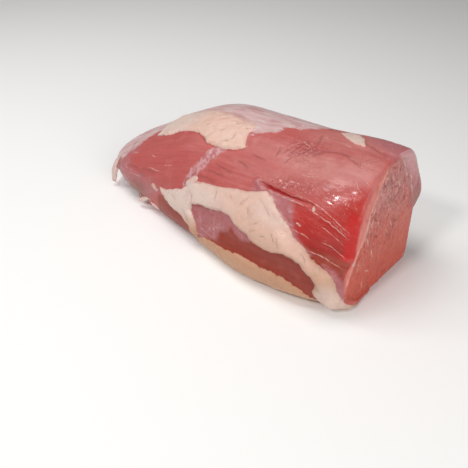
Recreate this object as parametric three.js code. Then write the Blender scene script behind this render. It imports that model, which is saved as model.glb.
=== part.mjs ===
// A raw beef roasting joint: one block of muscle, cut across the grain at its thick end and
// tapering to a blunt tip that lifts off the surface it lies on. Fat, silverskin and the loose
// tags at the tip are grown on to the muscle, so they are relief in its one closed skin.
//
// Millimetres. +X points to the cut face, +Y to the silverskin side and +Z up. The origin is
// the middle of the footprint, on the surface that the joint rests on.

import * as THREE from 'three';

// ---- Driving dimensions -------------------------------------------------------------------

const LENGTH = 262; // from the tip to the foot of the cut face
const WIDTH = 120; // across the widest section
const HEIGHT = 98; // at the crown, where the joint is cut
const CUT_LEAN = 0.1; // how far the cut face leans back for each millimetre of height
const LEAN_START = 0.63; // where along the length the sections begin to lean with it
const CUT_EDGE_RADIUS = 3; // the soft edge round the cut face
const CUT_FACE_BULGE = 1.5; // how far the middle of the cut face swells
const NOSE_LENGTH = 20; // the stretch over which the tip closes
const NOSE_BLUNTNESS = 2.4; // 2 is an ellipse, more is blunter

// Mesh density: rings along the joint, and points round each ring.
const RINGS = { nose: 7, body: 52, edge: 3, face: 5 };
const AROUND = { front: 34, base: 11, back: 28 };
const SECTION_SAMPLES = 90; // fine steps of a section's outline before it is spaced evenly

// ---- The lines of the joint ---------------------------------------------------------------

// Each line runs from the tip (0) to the cut face (1). Heights are fractions of HEIGHT and
// offsets to the side are fractions of WIDTH, from an axis that the crown wanders across.
const LINES = {
  crownHeight: line(HEIGHT, [
    [0, 0.245], [0.06, 0.372], [0.156, 0.536], [0.27, 0.72], [0.405, 0.872], [0.557, 0.912],
    [0.71, 0.934], [0.88, 0.985], [1, 1],
  ]),
  crownSide: line(WIDTH, [[0, -0.1], [0.156, 0.017], [0.405, 0.125], [0.71, 0.183], [1, 0.2]]),
  frontSide: line(WIDTH, [
    [0, -0.25], [0.08, -0.355], [0.252, -0.414], [0.405, -0.438], [0.557, -0.475],
    [0.71, -0.488], [0.863, -0.405], [1, -0.221],
  ]),
  frontHeight: line(HEIGHT, [
    [0, 0.143], [0.156, 0.184], [0.405, 0.153], [0.71, 0.163], [0.863, 0.265], [1, 0.398],
  ]),
  frontFoot: line(WIDTH, [
    [0, -0.133], [0.08, -0.233], [0.252, -0.33], [0.405, -0.358], [0.557, -0.38],
    [0.71, -0.392], [0.863, -0.345], [1, -0.205],
  ]),
  frontRoundness: line(1, [[0, 2.2], [0.252, 1.9], [0.481, 1.7], [0.71, 1.7], [1, 2.3]]),
  backSide: line(WIDTH, [[0, 0.133], [0.08, 0.267], [0.252, 0.4], [0.481, 0.458], [1, 0.42]]),
  backHeight: line(HEIGHT, [[0, 0.122], [0.156, 0.265], [0.405, 0.367], [0.71, 0.429], [1, 0.51]]),
  backFoot: line(WIDTH, [[0, 0.067], [0.08, 0.167], [0.252, 0.317], [0.481, 0.383], [1, 0.392]]),
  backRoundness: line(1, [[0, 2.2], [1, 2.1]]),
  // The seam fat stands out as a ledge below the front muscle towards the cut.
  ledgeDepth: line(WIDTH, [[0.634, 0], [0.786, 0.022], [0.901, 0.065], [1, 0.105]]),
  ledgeHeight: line(HEIGHT, [[0.634, 0.612], [0.786, 0.531], [0.901, 0.429], [1, 0.378]]),
  // The silverskin folds over as a flap high on the back towards the cut.
  flapDepth: line(WIDTH, [[0.557, 0], [0.748, 0.033], [1, 0.1]]),
  flapHeight: line(HEIGHT, [[0.557, 0.469], [1, 0.48]]),
  // The tip lifts off the surface below it.
  tipLift: line(HEIGHT, [[0, 0.143], [0.1, 0.071], [0.206, 0]]),
};
const LEDGE_BLEND = 6; // millimetres of height over which the ledge comes in
const LEDGE_FOOT_BLEND = 12; // and over which it goes again above the foot
const FLAP_BLEND = 4;
const FLAP_FADE = [6, 36]; // heights above the flap's lower edge between which it thins
const FLAP_TOP_THICKNESS = 0.4; // what is left of it above that

// ---- Relief -------------------------------------------------------------------------------

// Outlines and paths are on the skin: millimetres along from the tip, and millimetres round
// from the crown line, down the front.
const FAT_EDGE = 3; // half the width of a fat patch's sloping edge
const FAT_PATCHES = [
  { // the cap, over the crown near the tip
    rise: 1.6,
    outline: [
      [57, 29], [54, 20], [56, 9], [70, 6], [92, 11], [119, 12], [148, 17], [143, 29], [149, 39],
      [134, 44], [117, 43], [103, 35], [79, 31], [66, 32],
    ],
  },
  { // the seam fat, from a tongue on the tip's front down to the foot of the cut
    rise: 2.6,
    outline: [
      [87, 85], [102, 82], [116, 73], [148, 72], [173, 68], [189, 63], [197, 66], [210, 76],
      [224, 88], [239, 96], [249, 98], [257, 103], [262, 112], [262, 142], [248, 130],
      [244, 120], [243, 107], [230, 100], [215, 101], [204, 103], [190, 97], [175, 92],
      [159, 87], [136, 90], [126, 95], [129, 106], [142, 115], [136, 117], [115, 104],
      [98, 93],
    ],
  },
  { // the long strip at the foot of the front
    rise: 1.8,
    outline: [
      [134, 118], [150, 113], [177, 114], [203, 115], [228, 119], [240, 124], [250, 133],
      [262, 142], [262, 158], [228, 150], [177, 152], [140, 134],
    ],
  },
];
const MEMBRANE_BAND = { // silverskin that ties the cap to the seam fat
  rise: 0.7,
  halfWidth: 4.5,
  path: [[129, 44], [126, 56], [120, 64], [117, 74]],
};
const MUSCLE_SEAM = { // the split between two muscles that ends at the cut
  rise: -1.8,
  halfWidth: 2.5,
  path: [[186, 60], [206, 60], [224, 61], [246, 63], [258, 66]],
};
const LOOSE_TAGS = [ // flaps of fat and silverskin, each pulled out of the skin round one spot
  { at: [17, 50], radius: 8, pull: [-6, -4, -12] },
  { at: [54, 91], radius: 6, pull: [-5, -5, -2] },
  { at: [72, 99], radius: 6, pull: [-4, -5, -2] },
];
const UNEVENNESS = 0.7; // how far the muscle swells and dips over a few centimetres

// ---- Small mathematics --------------------------------------------------------------------

/** A smooth line through [place, value] knots, level beyond them, with its values scaled. */
function line(scale, knots) {
  const chord = (i) => (knots[i + 1][1] - knots[i][1]) / (knots[i + 1][0] - knots[i][0]);
  const slope = (i) => {
    if (i === 0) return chord(0);
    if (i === knots.length - 1) return chord(i - 1);
    const before = knots[i][0] - knots[i - 1][0];
    const after = knots[i + 1][0] - knots[i][0];
    return (chord(i - 1) * after + chord(i) * before) / (before + after);
  };
  return (place) => {
    const at = THREE.MathUtils.clamp(place, knots[0][0], knots[knots.length - 1][0]);
    let i = 0;
    while (i < knots.length - 2 && at > knots[i + 1][0]) i += 1;
    const [start, low] = knots[i];
    const [end, high] = knots[i + 1];
    const span = end - start;
    const t = (at - start) / span;
    const value = (2 * t ** 3 - 3 * t ** 2 + 1) * low
      + (t ** 3 - 2 * t ** 2 + t) * span * slope(i)
      + (3 * t ** 2 - 2 * t ** 3) * high
      + (t ** 3 - t ** 2) * span * slope(i + 1);
    return value * scale;
  };
}

const smooth = (low, high, value) => THREE.MathUtils.smoothstep(value, low, high);

/** Distance from a point to the stretch a to b. */
function distanceToStretch([x, y], a, b) {
  const [dx, dy] = [b[0] - a[0], b[1] - a[1]];
  const t = THREE.MathUtils.clamp(((x - a[0]) * dx + (y - a[1]) * dy) / (dx * dx + dy * dy), 0, 1);
  return Math.hypot(x - a[0] - t * dx, y - a[1] - t * dy);
}

/** Distance from a point to an open path. */
function distanceToPath(point, path) {
  const stretches = path.slice(1).map((end, i) => distanceToStretch(point, path[i], end));
  return Math.min(...stretches);
}

/** Distance from a point to a closed outline: positive inside it, negative outside. */
function depthInOutline(point, outline) {
  const [x, y] = point;
  let inside = false;
  outline.forEach(([ax, ay], i) => {
    const [bx, by] = outline[(i + 1) % outline.length];
    if ((ay > y) !== (by > y) && x < ax + ((y - ay) / (by - ay)) * (bx - ax)) inside = !inside;
  });
  const distance = distanceToPath(point, [...outline, outline[0]]);
  return inside ? distance : -distance;
}

// ---- Sections -----------------------------------------------------------------------------

/** Points [y, z] down one side of the section at a place along the joint, crown to foot. */
function sideOutline(place, side) {
  const crown = [LINES.crownSide(place), LINES.crownHeight(place)];
  const widest = [LINES[`${side}Side`](place), LINES[`${side}Height`](place)];
  const foot = LINES[`${side}Foot`](place);
  const power = 2 / LINES[`${side}Roundness`](place);
  const points = [];
  for (let i = SECTION_SAMPLES; i >= 0; i -= 1) {
    const angle = (i / SECTION_SAMPLES) * (Math.PI / 2);
    points.push([
      THREE.MathUtils.lerp(widest[0], crown[0], 1 - Math.cos(angle) ** power),
      THREE.MathUtils.lerp(widest[1], crown[1], Math.sin(angle) ** power),
    ]);
  }
  for (let i = SECTION_SAMPLES - 1; i >= 0; i -= 1) {
    const angle = (i / SECTION_SAMPLES) * (Math.PI / 2);
    points.push([
      THREE.MathUtils.lerp(foot, widest[0], Math.sin(angle)),
      widest[1] * (1 - Math.cos(angle)),
    ]);
  }
  return points.map(([y, z]) => [y + sideFold(place, side, z), z]);
}

/** How far the ledge on the front, or the flap on the back, moves the skin sideways. */
function sideFold(place, side, z) {
  if (side === 'front') {
    const edge = LINES.ledgeHeight(place);
    const below = 1 - smooth(edge - LEDGE_BLEND, edge + LEDGE_BLEND, z);
    return -LINES.ledgeDepth(place) * below * smooth(0, LEDGE_FOOT_BLEND, z);
  }
  const edge = LINES.flapHeight(place);
  const thinning = (1 - FLAP_TOP_THICKNESS) * smooth(edge + FLAP_FADE[0], edge + FLAP_FADE[1], z);
  return LINES.flapDepth(place) * smooth(edge - FLAP_BLEND, edge + FLAP_BLEND, z) * (1 - thinning);
}

/** An outline's points spaced evenly along it, with the distance round to each. */
function spaceEvenly(points, count) {
  const reach = [0];
  points.slice(1).forEach(([y, z], i) => {
    reach.push(reach[i] + Math.hypot(y - points[i][0], z - points[i][1]));
  });
  const total = reach[reach.length - 1];
  const spaced = [];
  let k = 0;
  for (let i = 0; i < count; i += 1) {
    const round = (total * i) / (count - 1);
    while (k < points.length - 2 && reach[k + 1] < round) k += 1;
    const t = (round - reach[k]) / (reach[k + 1] - reach[k]);
    spaced.push({
      y: THREE.MathUtils.lerp(points[k][0], points[k + 1][0], t),
      z: THREE.MathUtils.lerp(points[k][1], points[k + 1][1], t),
      round,
    });
  }
  return spaced;
}

/** One closed section: down the front from the crown, across the base and up the back. */
function section(place) {
  const front = spaceEvenly(sideOutline(place, 'front'), AROUND.front);
  const back = spaceEvenly(sideOutline(place, 'back'), AROUND.back + 1);
  const frontFoot = front[front.length - 1];
  const backFoot = back[back.length - 1];
  const base = [];
  for (let i = 1; i <= AROUND.base; i += 1) {
    const y = THREE.MathUtils.lerp(frontFoot.y, backFoot.y, i / (AROUND.base + 1));
    base.push({ y, z: 0, round: frontFoot.round + y - frontFoot.y });
  }
  const up = back.slice(1).reverse().map(({ y, z, round }) => ({ y, z, round: -round }));
  const height = LINES.crownHeight(place);
  const lift = LINES.tipLift(place);
  return [...front, ...base, ...up].map(({ y, z, round }) => (
    { y, z: z + lift * (1 - z / height), round }));
}

/** A section shrunk towards its middle and set at x, leaning as the cut face does. */
function ring(x, shrink, swell = 0) {
  const place = x / LENGTH;
  const points = section(place);
  const middleY = points.reduce((sum, point) => sum + point.y, 0) / points.length;
  const middleZ = LINES.crownHeight(place) / 2;
  const lean = CUT_LEAN * THREE.MathUtils.clamp((place - LEAN_START) / (1 - LEAN_START), 0, 1);
  return points.map(({ y, z, round }) => {
    const height = middleZ + (z - middleZ) * shrink;
    return {
      position: new THREE.Vector3(
        x - lean * height + swell,
        middleY + (y - middleY) * shrink,
        height,
      ),
      along: x,
      round,
    };
  });
}

/** Every ring from the tip to the middle of the cut face. */
function makeRings() {
  const rings = [];
  for (let i = 1; i <= RINGS.nose; i += 1) {
    const angle = (i / RINGS.nose) * (Math.PI / 2);
    const shrink = Math.sqrt(1 - Math.cos(angle) ** NOSE_BLUNTNESS);
    rings.push(ring(NOSE_LENGTH * (1 - Math.cos(angle)), shrink));
  }
  const bodyLength = LENGTH - CUT_EDGE_RADIUS - NOSE_LENGTH;
  for (let i = 1; i <= RINGS.body; i += 1) {
    rings.push(ring(NOSE_LENGTH + (bodyLength * i) / RINGS.body, 1));
  }
  const edgeShrink = 1 - CUT_EDGE_RADIUS / (WIDTH / 2);
  for (let i = 1; i <= RINGS.edge; i += 1) {
    const angle = (i / RINGS.edge) * (Math.PI / 2);
    const shrink = THREE.MathUtils.lerp(edgeShrink, 1, Math.cos(angle));
    rings.push(ring(LENGTH - CUT_EDGE_RADIUS * (1 - Math.sin(angle)), shrink));
  }
  for (let i = RINGS.face; i >= 1; i -= 1) {
    const shrink = (edgeShrink * i) / (RINGS.face + 1);
    rings.push(ring(LENGTH, shrink, CUT_FACE_BULGE * (1 - shrink ** 2)));
  }
  return rings;
}

// ---- Skin relief --------------------------------------------------------------------------

/** How far the skin stands out of the plain sections at a spot on it. */
function relief(along, round) {
  const spot = [along, round];
  let rise = UNEVENNESS * Math.sin(along / 17 + round / 23) * Math.cos(round / 19 - along / 41);
  FAT_PATCHES.forEach((patch) => {
    rise += patch.rise * smooth(-FAT_EDGE, FAT_EDGE, depthInOutline(spot, patch.outline));
  });
  [MEMBRANE_BAND, MUSCLE_SEAM].forEach(({ rise: height, halfWidth, path }) => {
    rise += height * (1 - smooth(0, halfWidth, distanceToPath(spot, path)));
  });
  return rise;
}

/** How far the loose tags pull the skin at a spot on it. */
function tagPull(along, round) {
  const pull = new THREE.Vector3();
  LOOSE_TAGS.forEach(({ at, radius, pull: [x, y, z] }) => {
    const near = 1 - smooth(0, radius, Math.hypot(along - at[0], round - at[1]));
    pull.add(new THREE.Vector3(x, y, z).multiplyScalar(near));
  });
  return pull;
}

/** Outward direction of the skin at one point of the ring grid. */
function outward(rings, i, j) {
  const count = rings[i].length;
  const next = rings[Math.min(i + 1, rings.length - 1)][j].position;
  const before = rings[Math.max(i - 1, 0)][j].position;
  const left = rings[i][(j + count - 1) % count].position;
  const right = rings[i][(j + 1) % count].position;
  const lengthwise = next.clone().sub(before);
  return right.clone().sub(left).cross(lengthwise).normalize();
}

/** The rings with their relief, never lower than the surface that the joint rests on. */
function sculpt(rings) {
  const skinRings = RINGS.nose + RINGS.body + RINGS.edge;
  return rings.map((points, i) => points.map(({ position, along, round }, j) => {
    if (i >= skinRings) return position;
    const sculpted = position.clone();
    if (position.z > 0) {
      sculpted.addScaledVector(outward(rings, i, j), relief(along, round));
      sculpted.add(tagPull(along, round));
    }
    sculpted.z = Math.max(sculpted.z, 0);
    return sculpted;
  }));
}

// ---- The joint ----------------------------------------------------------------------------

/** One closed skin over the rings, with a point at each end. */
function closedSkin(rings) {
  const count = rings[0].length;
  const middle = (points) => points.reduce((sum, p) => sum.add(p), new THREE.Vector3())
    .divideScalar(points.length);
  const tip = middle(rings[0]);
  tip.x = 0;
  const heart = middle(rings[rings.length - 1]);
  const vertices = [...rings.flat(), tip, heart];
  const tipIndex = vertices.length - 2;
  const heartIndex = vertices.length - 1;
  const faces = [];
  for (let j = 0; j < count; j += 1) {
    const k = (j + 1) % count;
    faces.push(tipIndex, k, j);
    for (let i = 0; i < rings.length - 1; i += 1) {
      const [a, b] = [i * count, (i + 1) * count];
      faces.push(a + j, a + k, b + k, a + j, b + k, b + j); // split along the seam fat's ridge
    }
    const last = (rings.length - 1) * count;
    faces.push(last + j, last + k, heartIndex);
  }
  const geometry = new THREE.BufferGeometry();
  geometry.setFromPoints(vertices);
  geometry.setIndex(faces);
  return geometry;
}

/** Moves a geometry so that the middle of its footprint is the origin. */
function standOnOrigin(geometry) {
  geometry.computeBoundingBox();
  const { min, max } = geometry.boundingBox;
  geometry.translate(-(min.x + max.x) / 2, -(min.y + max.y) / 2, -min.z);
  geometry.computeVertexNormals();
  return geometry;
}

const rawBeef = new THREE.MeshStandardMaterial({ color: 0xb8625e, roughness: 0.4, metalness: 0 });

const joint = new THREE.Mesh(standOnOrigin(closedSkin(sculpt(makeRings()))), rawBeef);
joint.name = 'beef_joint';

const group = new THREE.Group();
group.add(joint);

export default group;
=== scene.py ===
"""A raw beef roasting joint on a pale floor: a lean muscle block with a fat cap, seam fat and silverskin."""

import itertools
import logging
import math
from collections.abc import Iterator, Sequence
from contextlib import contextmanager
from dataclasses import dataclass, field
from enum import Enum

import bpy
import numpy as np
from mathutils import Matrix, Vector


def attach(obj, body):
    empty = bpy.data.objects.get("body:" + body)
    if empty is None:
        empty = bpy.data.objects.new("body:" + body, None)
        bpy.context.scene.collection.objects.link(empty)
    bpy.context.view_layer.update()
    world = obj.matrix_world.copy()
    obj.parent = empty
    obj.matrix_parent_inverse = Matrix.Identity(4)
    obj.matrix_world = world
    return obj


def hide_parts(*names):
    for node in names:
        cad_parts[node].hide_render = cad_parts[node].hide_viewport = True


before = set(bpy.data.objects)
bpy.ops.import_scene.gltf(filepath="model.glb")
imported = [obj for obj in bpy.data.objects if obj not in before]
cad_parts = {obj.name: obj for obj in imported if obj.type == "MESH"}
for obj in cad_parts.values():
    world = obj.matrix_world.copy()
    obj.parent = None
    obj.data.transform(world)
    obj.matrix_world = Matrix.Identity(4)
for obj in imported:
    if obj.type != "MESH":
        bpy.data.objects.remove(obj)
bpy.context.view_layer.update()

log = logging.getLogger("beef_joint")

MM = 0.001
NODE = "beef_joint"
BODY = "root"

Spot = tuple[float, float]  # millimetres along from the tip, and round from the crown line
Path = tuple[Spot, ...]
Triple = tuple[float, float, float]
Size = float | Triple  # in millimetres, the same on every axis or one for each
Colour = Triple
Counts = tuple[int, int, int]  # points on the front, the base and the back of a ring


class Side(Enum):
    """The two sides of a section, either side of the crown."""

    FRONT = 1
    BACK = -1


# ---- Small mathematics ----------------------------------------------------------------------


def smooth(low: float, high: float, value: np.ndarray) -> np.ndarray:
    """A soft step, from 0 at low to 1 at high."""
    t = np.clip((value - low) / (high - low), 0.0, 1.0)
    return t * t * (3.0 - 2.0 * t)


def fade(low: float, high: float, value: np.ndarray) -> np.ndarray:
    """A soft step down, from 1 at low to 0 at high."""
    return 1.0 - smooth(low, high, value)


def path_distance(spots: np.ndarray, path: Sequence[Spot]) -> np.ndarray:
    """Distance from each spot to an open path.

    Args:
        spots: Points on the skin, one row each.
        path: The corners of the path.

    Returns:
        One distance in millimetres for each spot.
    """
    nearest = np.full(len(spots), np.inf)
    for start, end in itertools.pairwise(np.array(path, float)):
        run = end - start
        t = np.clip((spots - start) @ run / (run @ run), 0.0, 1.0)
        nearest = np.minimum(nearest, np.linalg.norm(spots - start - t[:, None] * run, axis=1))
    return nearest


def depth_inside(spots: np.ndarray, outline: Sequence[Spot]) -> np.ndarray:
    """Signed distance to a closed outline.

    Args:
        spots: Points on the skin, one row each.
        outline: The corners of the outline.

    Returns:
        Millimetres inside the outline for each spot, negative outside it.
    """
    x, y = spots.T
    inside = np.zeros(len(spots), bool)
    closed = (*outline, outline[0])
    for (ax, ay), (bx, by) in itertools.pairwise(closed):
        if ay != by:
            inside ^= ((ay > y) != (by > y)) & (x < ax + (y - ay) / (by - ay) * (bx - ax))
    distance = path_distance(spots, closed)
    return np.where(inside, distance, -distance)


def carved(spots: np.ndarray, paths: Sequence[Path], depth: float, half_width: float = 1.6) -> np.ndarray:
    """How deep narrow grooves along some paths cut.

    Args:
        spots: Points on the skin, one row each.
        paths: The corners of each path.
        depth: How deep a groove is in its middle.
        half_width: How far a groove reaches to each side.

    Returns:
        One depth in millimetres for each spot.
    """
    return depth * sum(fade(0.0, half_width, path_distance(spots, path)) for path in paths)


def line_marks(spots: np.ndarray, paths: Sequence[Path], reach: float = 2.4) -> tuple[np.ndarray, np.ndarray]:
    """What a thin line along each path needs: which side of it a spot is on, and its strength.

    Args:
        spots: Points on the skin, one row each.
        paths: The corners of each path.
        reach: How far from its path a line may show.

    Returns:
        The signed distance to the nearest path, and a strength that fades at its ends.
    """
    nearest = np.full(len(spots), np.inf)
    side = np.full(len(spots), 9.0)
    strength = np.zeros(len(spots))
    for path in paths:
        corners = np.array(path, float)
        lengths = np.linalg.norm(np.diff(corners, axis=0), axis=1)
        before = np.concatenate([[0.0], np.cumsum(lengths)])
        for start, end, length, run_in in zip(corners[:-1], corners[1:], lengths, before[:-1]):
            run = (end - start) / length
            away = spots - start
            reached = np.clip(away @ run, 0.0, length)
            distance = np.linalg.norm(away - reached[:, None] * run, axis=1)
            share = (run_in + reached) / before[-1]
            drawn = smooth(0.0, 0.2, share) * fade(0.75, 1.0, share) * fade(0.6 * reach, reach, distance)
            closer = distance < nearest
            left = run[0] * away[:, 1] < run[1] * away[:, 0]
            side = np.where(closer, np.where(left, -distance, distance), side)
            strength = np.where(closer, drawn, strength)
            nearest = np.minimum(nearest, distance)
    return side, strength


@dataclass(frozen=True)
class Swell:
    """One size of noise: how high it rises, and how long it is. Both are in millimetres."""

    rise: float
    size: Size


class Noise:
    """Seeded smooth noise, for swells, dents and ragged edges."""

    CELLS = 256
    GAIN = 1.7  # brings the noise to about -1 to 1

    def __init__(self, seed: int) -> None:
        """Draws the slopes at the corners of the noise's cells, from a seed.

        Args:
            seed: The start of the random draw.
        """
        draw = np.random.default_rng(seed)
        self._order = draw.permutation(self.CELLS)
        slopes = draw.normal(size=(self.CELLS, 3))
        self._slopes = slopes / np.linalg.norm(slopes, axis=1)[:, None]

    def at(self, points: np.ndarray, size: Size) -> np.ndarray:
        """Noise from about -1 to 1.

        Args:
            points: Points in millimetres, one row of three each.
            size: How long a swell is.

        Returns:
            One value for each point.
        """
        scaled = points / np.array(size, float)
        cell = np.floor(scaled).astype(int)
        part = scaled - cell
        blend = part**3 * (part * (part * 6.0 - 15.0) + 10.0)
        total = np.zeros(len(points))
        for corner in itertools.product((0, 1), repeat=3):
            key = np.zeros(len(points), int)
            weight = np.ones(len(points))
            for axis in range(3):
                key = self._order[(key + cell[:, axis] + corner[axis]) % self.CELLS]
                weight *= blend[:, axis] if corner[axis] else 1.0 - blend[:, axis]
            total += weight * ((part - corner) * self._slopes[key]).sum(axis=1)
        return total * self.GAIN

    def rise(self, points: np.ndarray, swells: Sequence[Swell], folded: bool = False) -> np.ndarray:
        """Several sizes of noise together.

        Args:
            points: Points in millimetres, one row of three each.
            swells: The sizes of noise.
            folded: Whether every dent is turned up into a swell, which leaves sharp valleys.

        Returns:
            One rise in millimetres for each point.
        """
        layers = [self.at(points, swell.size) for swell in swells]
        return sum(swell.rise * (np.abs(layer) if folded else layer) for swell, layer in zip(swells, layers))


@dataclass(frozen=True)
class Line:
    """A smooth line along the joint, level beyond its knots."""

    scale: float
    knots: Path

    def at(self, place: float) -> float:
        """The line's value at a place from the tip (0) to the cut face (1).

        Args:
            place: The place along the joint.

        Returns:
            The value, in the scale's unit.
        """
        knots = self.knots
        place = min(max(place, knots[0][0]), knots[-1][0])
        i = 0
        while i < len(knots) - 2 and place > knots[i + 1][0]:
            i += 1
        (start, low), (end, high) = knots[i], knots[i + 1]
        span = end - start
        t = (place - start) / span
        return self.scale * (
            (2 * t**3 - 3 * t**2 + 1) * low
            + (t**3 - 2 * t**2 + t) * span * self._slope(i)
            + (3 * t**2 - 2 * t**3) * high
            + (t**3 - t**2) * span * self._slope(i + 1)
        )

    def _chord(self, i: int) -> float:
        """The straight slope between knot i and the next."""
        (start, low), (end, high) = self.knots[i], self.knots[i + 1]
        return (high - low) / (end - start)

    def _slope(self, i: int) -> float:
        """The line's slope at knot i.

        Args:
            i: The knot's number.

        Returns:
            The slope over the whole length.
        """
        if i == 0:
            return self._chord(0)
        if i == len(self.knots) - 1:
            return self._chord(i - 1)
        before = self.knots[i][0] - self.knots[i - 1][0]
        after = self.knots[i + 1][0] - self.knots[i][0]
        return (self._chord(i - 1) * after + self._chord(i) * before) / (before + after)


# ---- The form of the joint ------------------------------------------------------------------

LENGTH, WIDTH, HEIGHT = 262.0, 120.0, 98.0


@dataclass(frozen=True)
class Flank:
    """The lines of one side: its widest place, its foot, and how round it is between."""

    side: Line
    height: Line
    foot: Line
    roundness: Line


@dataclass(frozen=True)
class JointForm:
    """The joint's plain sections, in millimetres from its tip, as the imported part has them."""

    origin: Spot = (131.76, 0.25)  # the part's origin, along from the tip and across
    cut_lean: float = 0.1
    lean_start: float = 0.63
    edge_radius: float = 3.0
    face_bulge: float = 1.5
    nose_length: float = 20.0
    nose_bluntness: float = 2.4
    samples: int = 90
    ledge_blend: float = 6.0
    ledge_foot_blend: float = 12.0
    flap_blend: float = 4.0
    flap_fade: Spot = (6.0, 36.0)
    flap_top: float = 0.4
    crown_height: Line = Line(HEIGHT, (
        (0, 0.245), (0.06, 0.372), (0.156, 0.536), (0.27, 0.72), (0.405, 0.872), (0.557, 0.912),
        (0.71, 0.934), (0.88, 0.985), (1, 1)))
    crown_side: Line = Line(WIDTH, ((0, -0.1), (0.156, 0.017), (0.405, 0.125), (0.71, 0.183), (1, 0.2)))
    front: Flank = Flank(
        side=Line(WIDTH, (
            (0, -0.25), (0.08, -0.355), (0.252, -0.414), (0.405, -0.438), (0.557, -0.475),
            (0.71, -0.488), (0.863, -0.405), (1, -0.221))),
        height=Line(HEIGHT, (
            (0, 0.143), (0.156, 0.184), (0.405, 0.153), (0.71, 0.163), (0.863, 0.265), (1, 0.398))),
        foot=Line(WIDTH, (
            (0, -0.133), (0.08, -0.233), (0.252, -0.33), (0.405, -0.358), (0.557, -0.38),
            (0.71, -0.392), (0.863, -0.345), (1, -0.205))),
        roundness=Line(1, ((0, 2.2), (0.252, 1.9), (0.481, 1.7), (0.71, 1.7), (1, 2.3))))
    back: Flank = Flank(
        side=Line(WIDTH, ((0, 0.133), (0.08, 0.267), (0.252, 0.4), (0.481, 0.458), (1, 0.42))),
        height=Line(HEIGHT, ((0, 0.122), (0.156, 0.265), (0.405, 0.367), (0.71, 0.429), (1, 0.51))),
        foot=Line(WIDTH, ((0, 0.067), (0.08, 0.167), (0.252, 0.317), (0.481, 0.383), (1, 0.392))),
        roundness=Line(1, ((0, 2.2), (1, 2.1))))
    ledge_depth: Line = Line(WIDTH, ((0.634, 0), (0.786, 0.022), (0.901, 0.065), (1, 0.105)))
    ledge_height: Line = Line(HEIGHT, ((0.634, 0.612), (0.786, 0.531), (0.901, 0.429), (1, 0.378)))
    flap_depth: Line = Line(WIDTH, ((0.557, 0), (0.748, 0.033), (1, 0.1)))
    flap_height: Line = Line(HEIGHT, ((0.557, 0.469), (1, 0.48)))
    tip_lift: Line = Line(HEIGHT, ((0, 0.143), (0.1, 0.071), (0.206, 0)))

    def side_outline(self, place: float, side: Side) -> np.ndarray:
        """One side of a section.

        Args:
            place: Where the section is, from the tip (0) to the cut face (1).
            side: Which side of the crown.

        Returns:
            Rows of y and z from the crown down to the foot.
        """
        flank = self.front if side is Side.FRONT else self.back
        crown_y, crown_z = self.crown_side.at(place), self.crown_height.at(place)
        wide_y, wide_z, foot_y = flank.side.at(place), flank.height.at(place), flank.foot.at(place)
        power = 2.0 / flank.roundness.at(place)
        angle = np.linspace(math.pi / 2, 0.0, self.samples + 1)
        upper = np.clip(np.cos(angle), 0.0, 1.0) ** power
        y = np.concatenate([
            wide_y + (crown_y - wide_y) * (1.0 - upper),
            foot_y + (wide_y - foot_y) * np.sin(angle[1:]),
        ])
        z = np.concatenate([
            wide_z + (crown_z - wide_z) * np.sin(angle) ** power,
            wide_z * (1.0 - np.cos(angle[1:])),
        ])
        return np.stack([y + self._fold(place, side, z), z], axis=1)

    def _fold(self, place: float, side: Side, z: np.ndarray) -> np.ndarray:
        """How far the ledge on the front, or the flap on the back, moves the skin sideways.

        Args:
            place: Where the section is, from the tip (0) to the cut face (1).
            side: Which side of the crown.
            z: The heights wanted.

        Returns:
            Millimetres across, one for each height.
        """
        if side is Side.FRONT:
            edge = self.ledge_height.at(place)
            below = fade(edge - self.ledge_blend, edge + self.ledge_blend, z)
            return -self.ledge_depth.at(place) * below * smooth(0.0, self.ledge_foot_blend, z)
        edge = self.flap_height.at(place)
        above = smooth(edge + self.flap_fade[0], edge + self.flap_fade[1], z)
        rise = smooth(edge - self.flap_blend, edge + self.flap_blend, z)
        return self.flap_depth.at(place) * rise * (1.0 - (1.0 - self.flap_top) * above)

    def section(self, place: float, counts: Counts) -> tuple[np.ndarray, np.ndarray]:
        """One closed section: down the front from the crown, across the base and up the back.

        Args:
            place: Where the section is, from the tip (0) to the cut face (1).
            counts: Points on the front, the base and the back.

        Returns:
            Rows of y and z, and how far round from the crown each point is. The back counts
            down from 0, and so does the base's far half.
        """
        front, front_round = self._evenly(self.side_outline(place, Side.FRONT), counts[0])
        back, back_round = self._evenly(self.side_outline(place, Side.BACK), counts[2] + 1)
        base_y = np.linspace(front[-1, 0], back[-1, 0], counts[1] + 2)[1:-1]
        near_front = base_y < (front[-1, 0] + back[-1, 0]) / 2
        base_round = np.where(
            near_front,
            front_round[-1] + base_y - front[-1, 0],
            -(back_round[-1] + back[-1, 0] - base_y),
        )
        y = np.concatenate([front[:, 0], base_y, back[:0:-1, 0]])
        z = np.concatenate([front[:, 1], np.zeros(counts[1]), back[:0:-1, 1]])
        z = z + self.tip_lift.at(place) * (1.0 - z / self.crown_height.at(place))
        return np.stack([y, z], axis=1), np.concatenate([front_round, base_round, -back_round[:0:-1]])

    @staticmethod
    def _evenly(points: np.ndarray, count: int) -> tuple[np.ndarray, np.ndarray]:
        """An outline's points spaced evenly along it, with the distance to each.

        Args:
            points: The outline's points.
            count: How many are wanted.

        Returns:
            The new points, and the distance along the outline to each.
        """
        steps = np.linalg.norm(np.diff(points, axis=0), axis=1)
        reach = np.concatenate([[0.0], np.cumsum(steps)])
        wanted = np.linspace(0.0, reach[-1], count)
        spaced = [np.interp(wanted, reach, points[:, axis]) for axis in range(2)]
        return np.stack(spaced, axis=1), wanted

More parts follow.
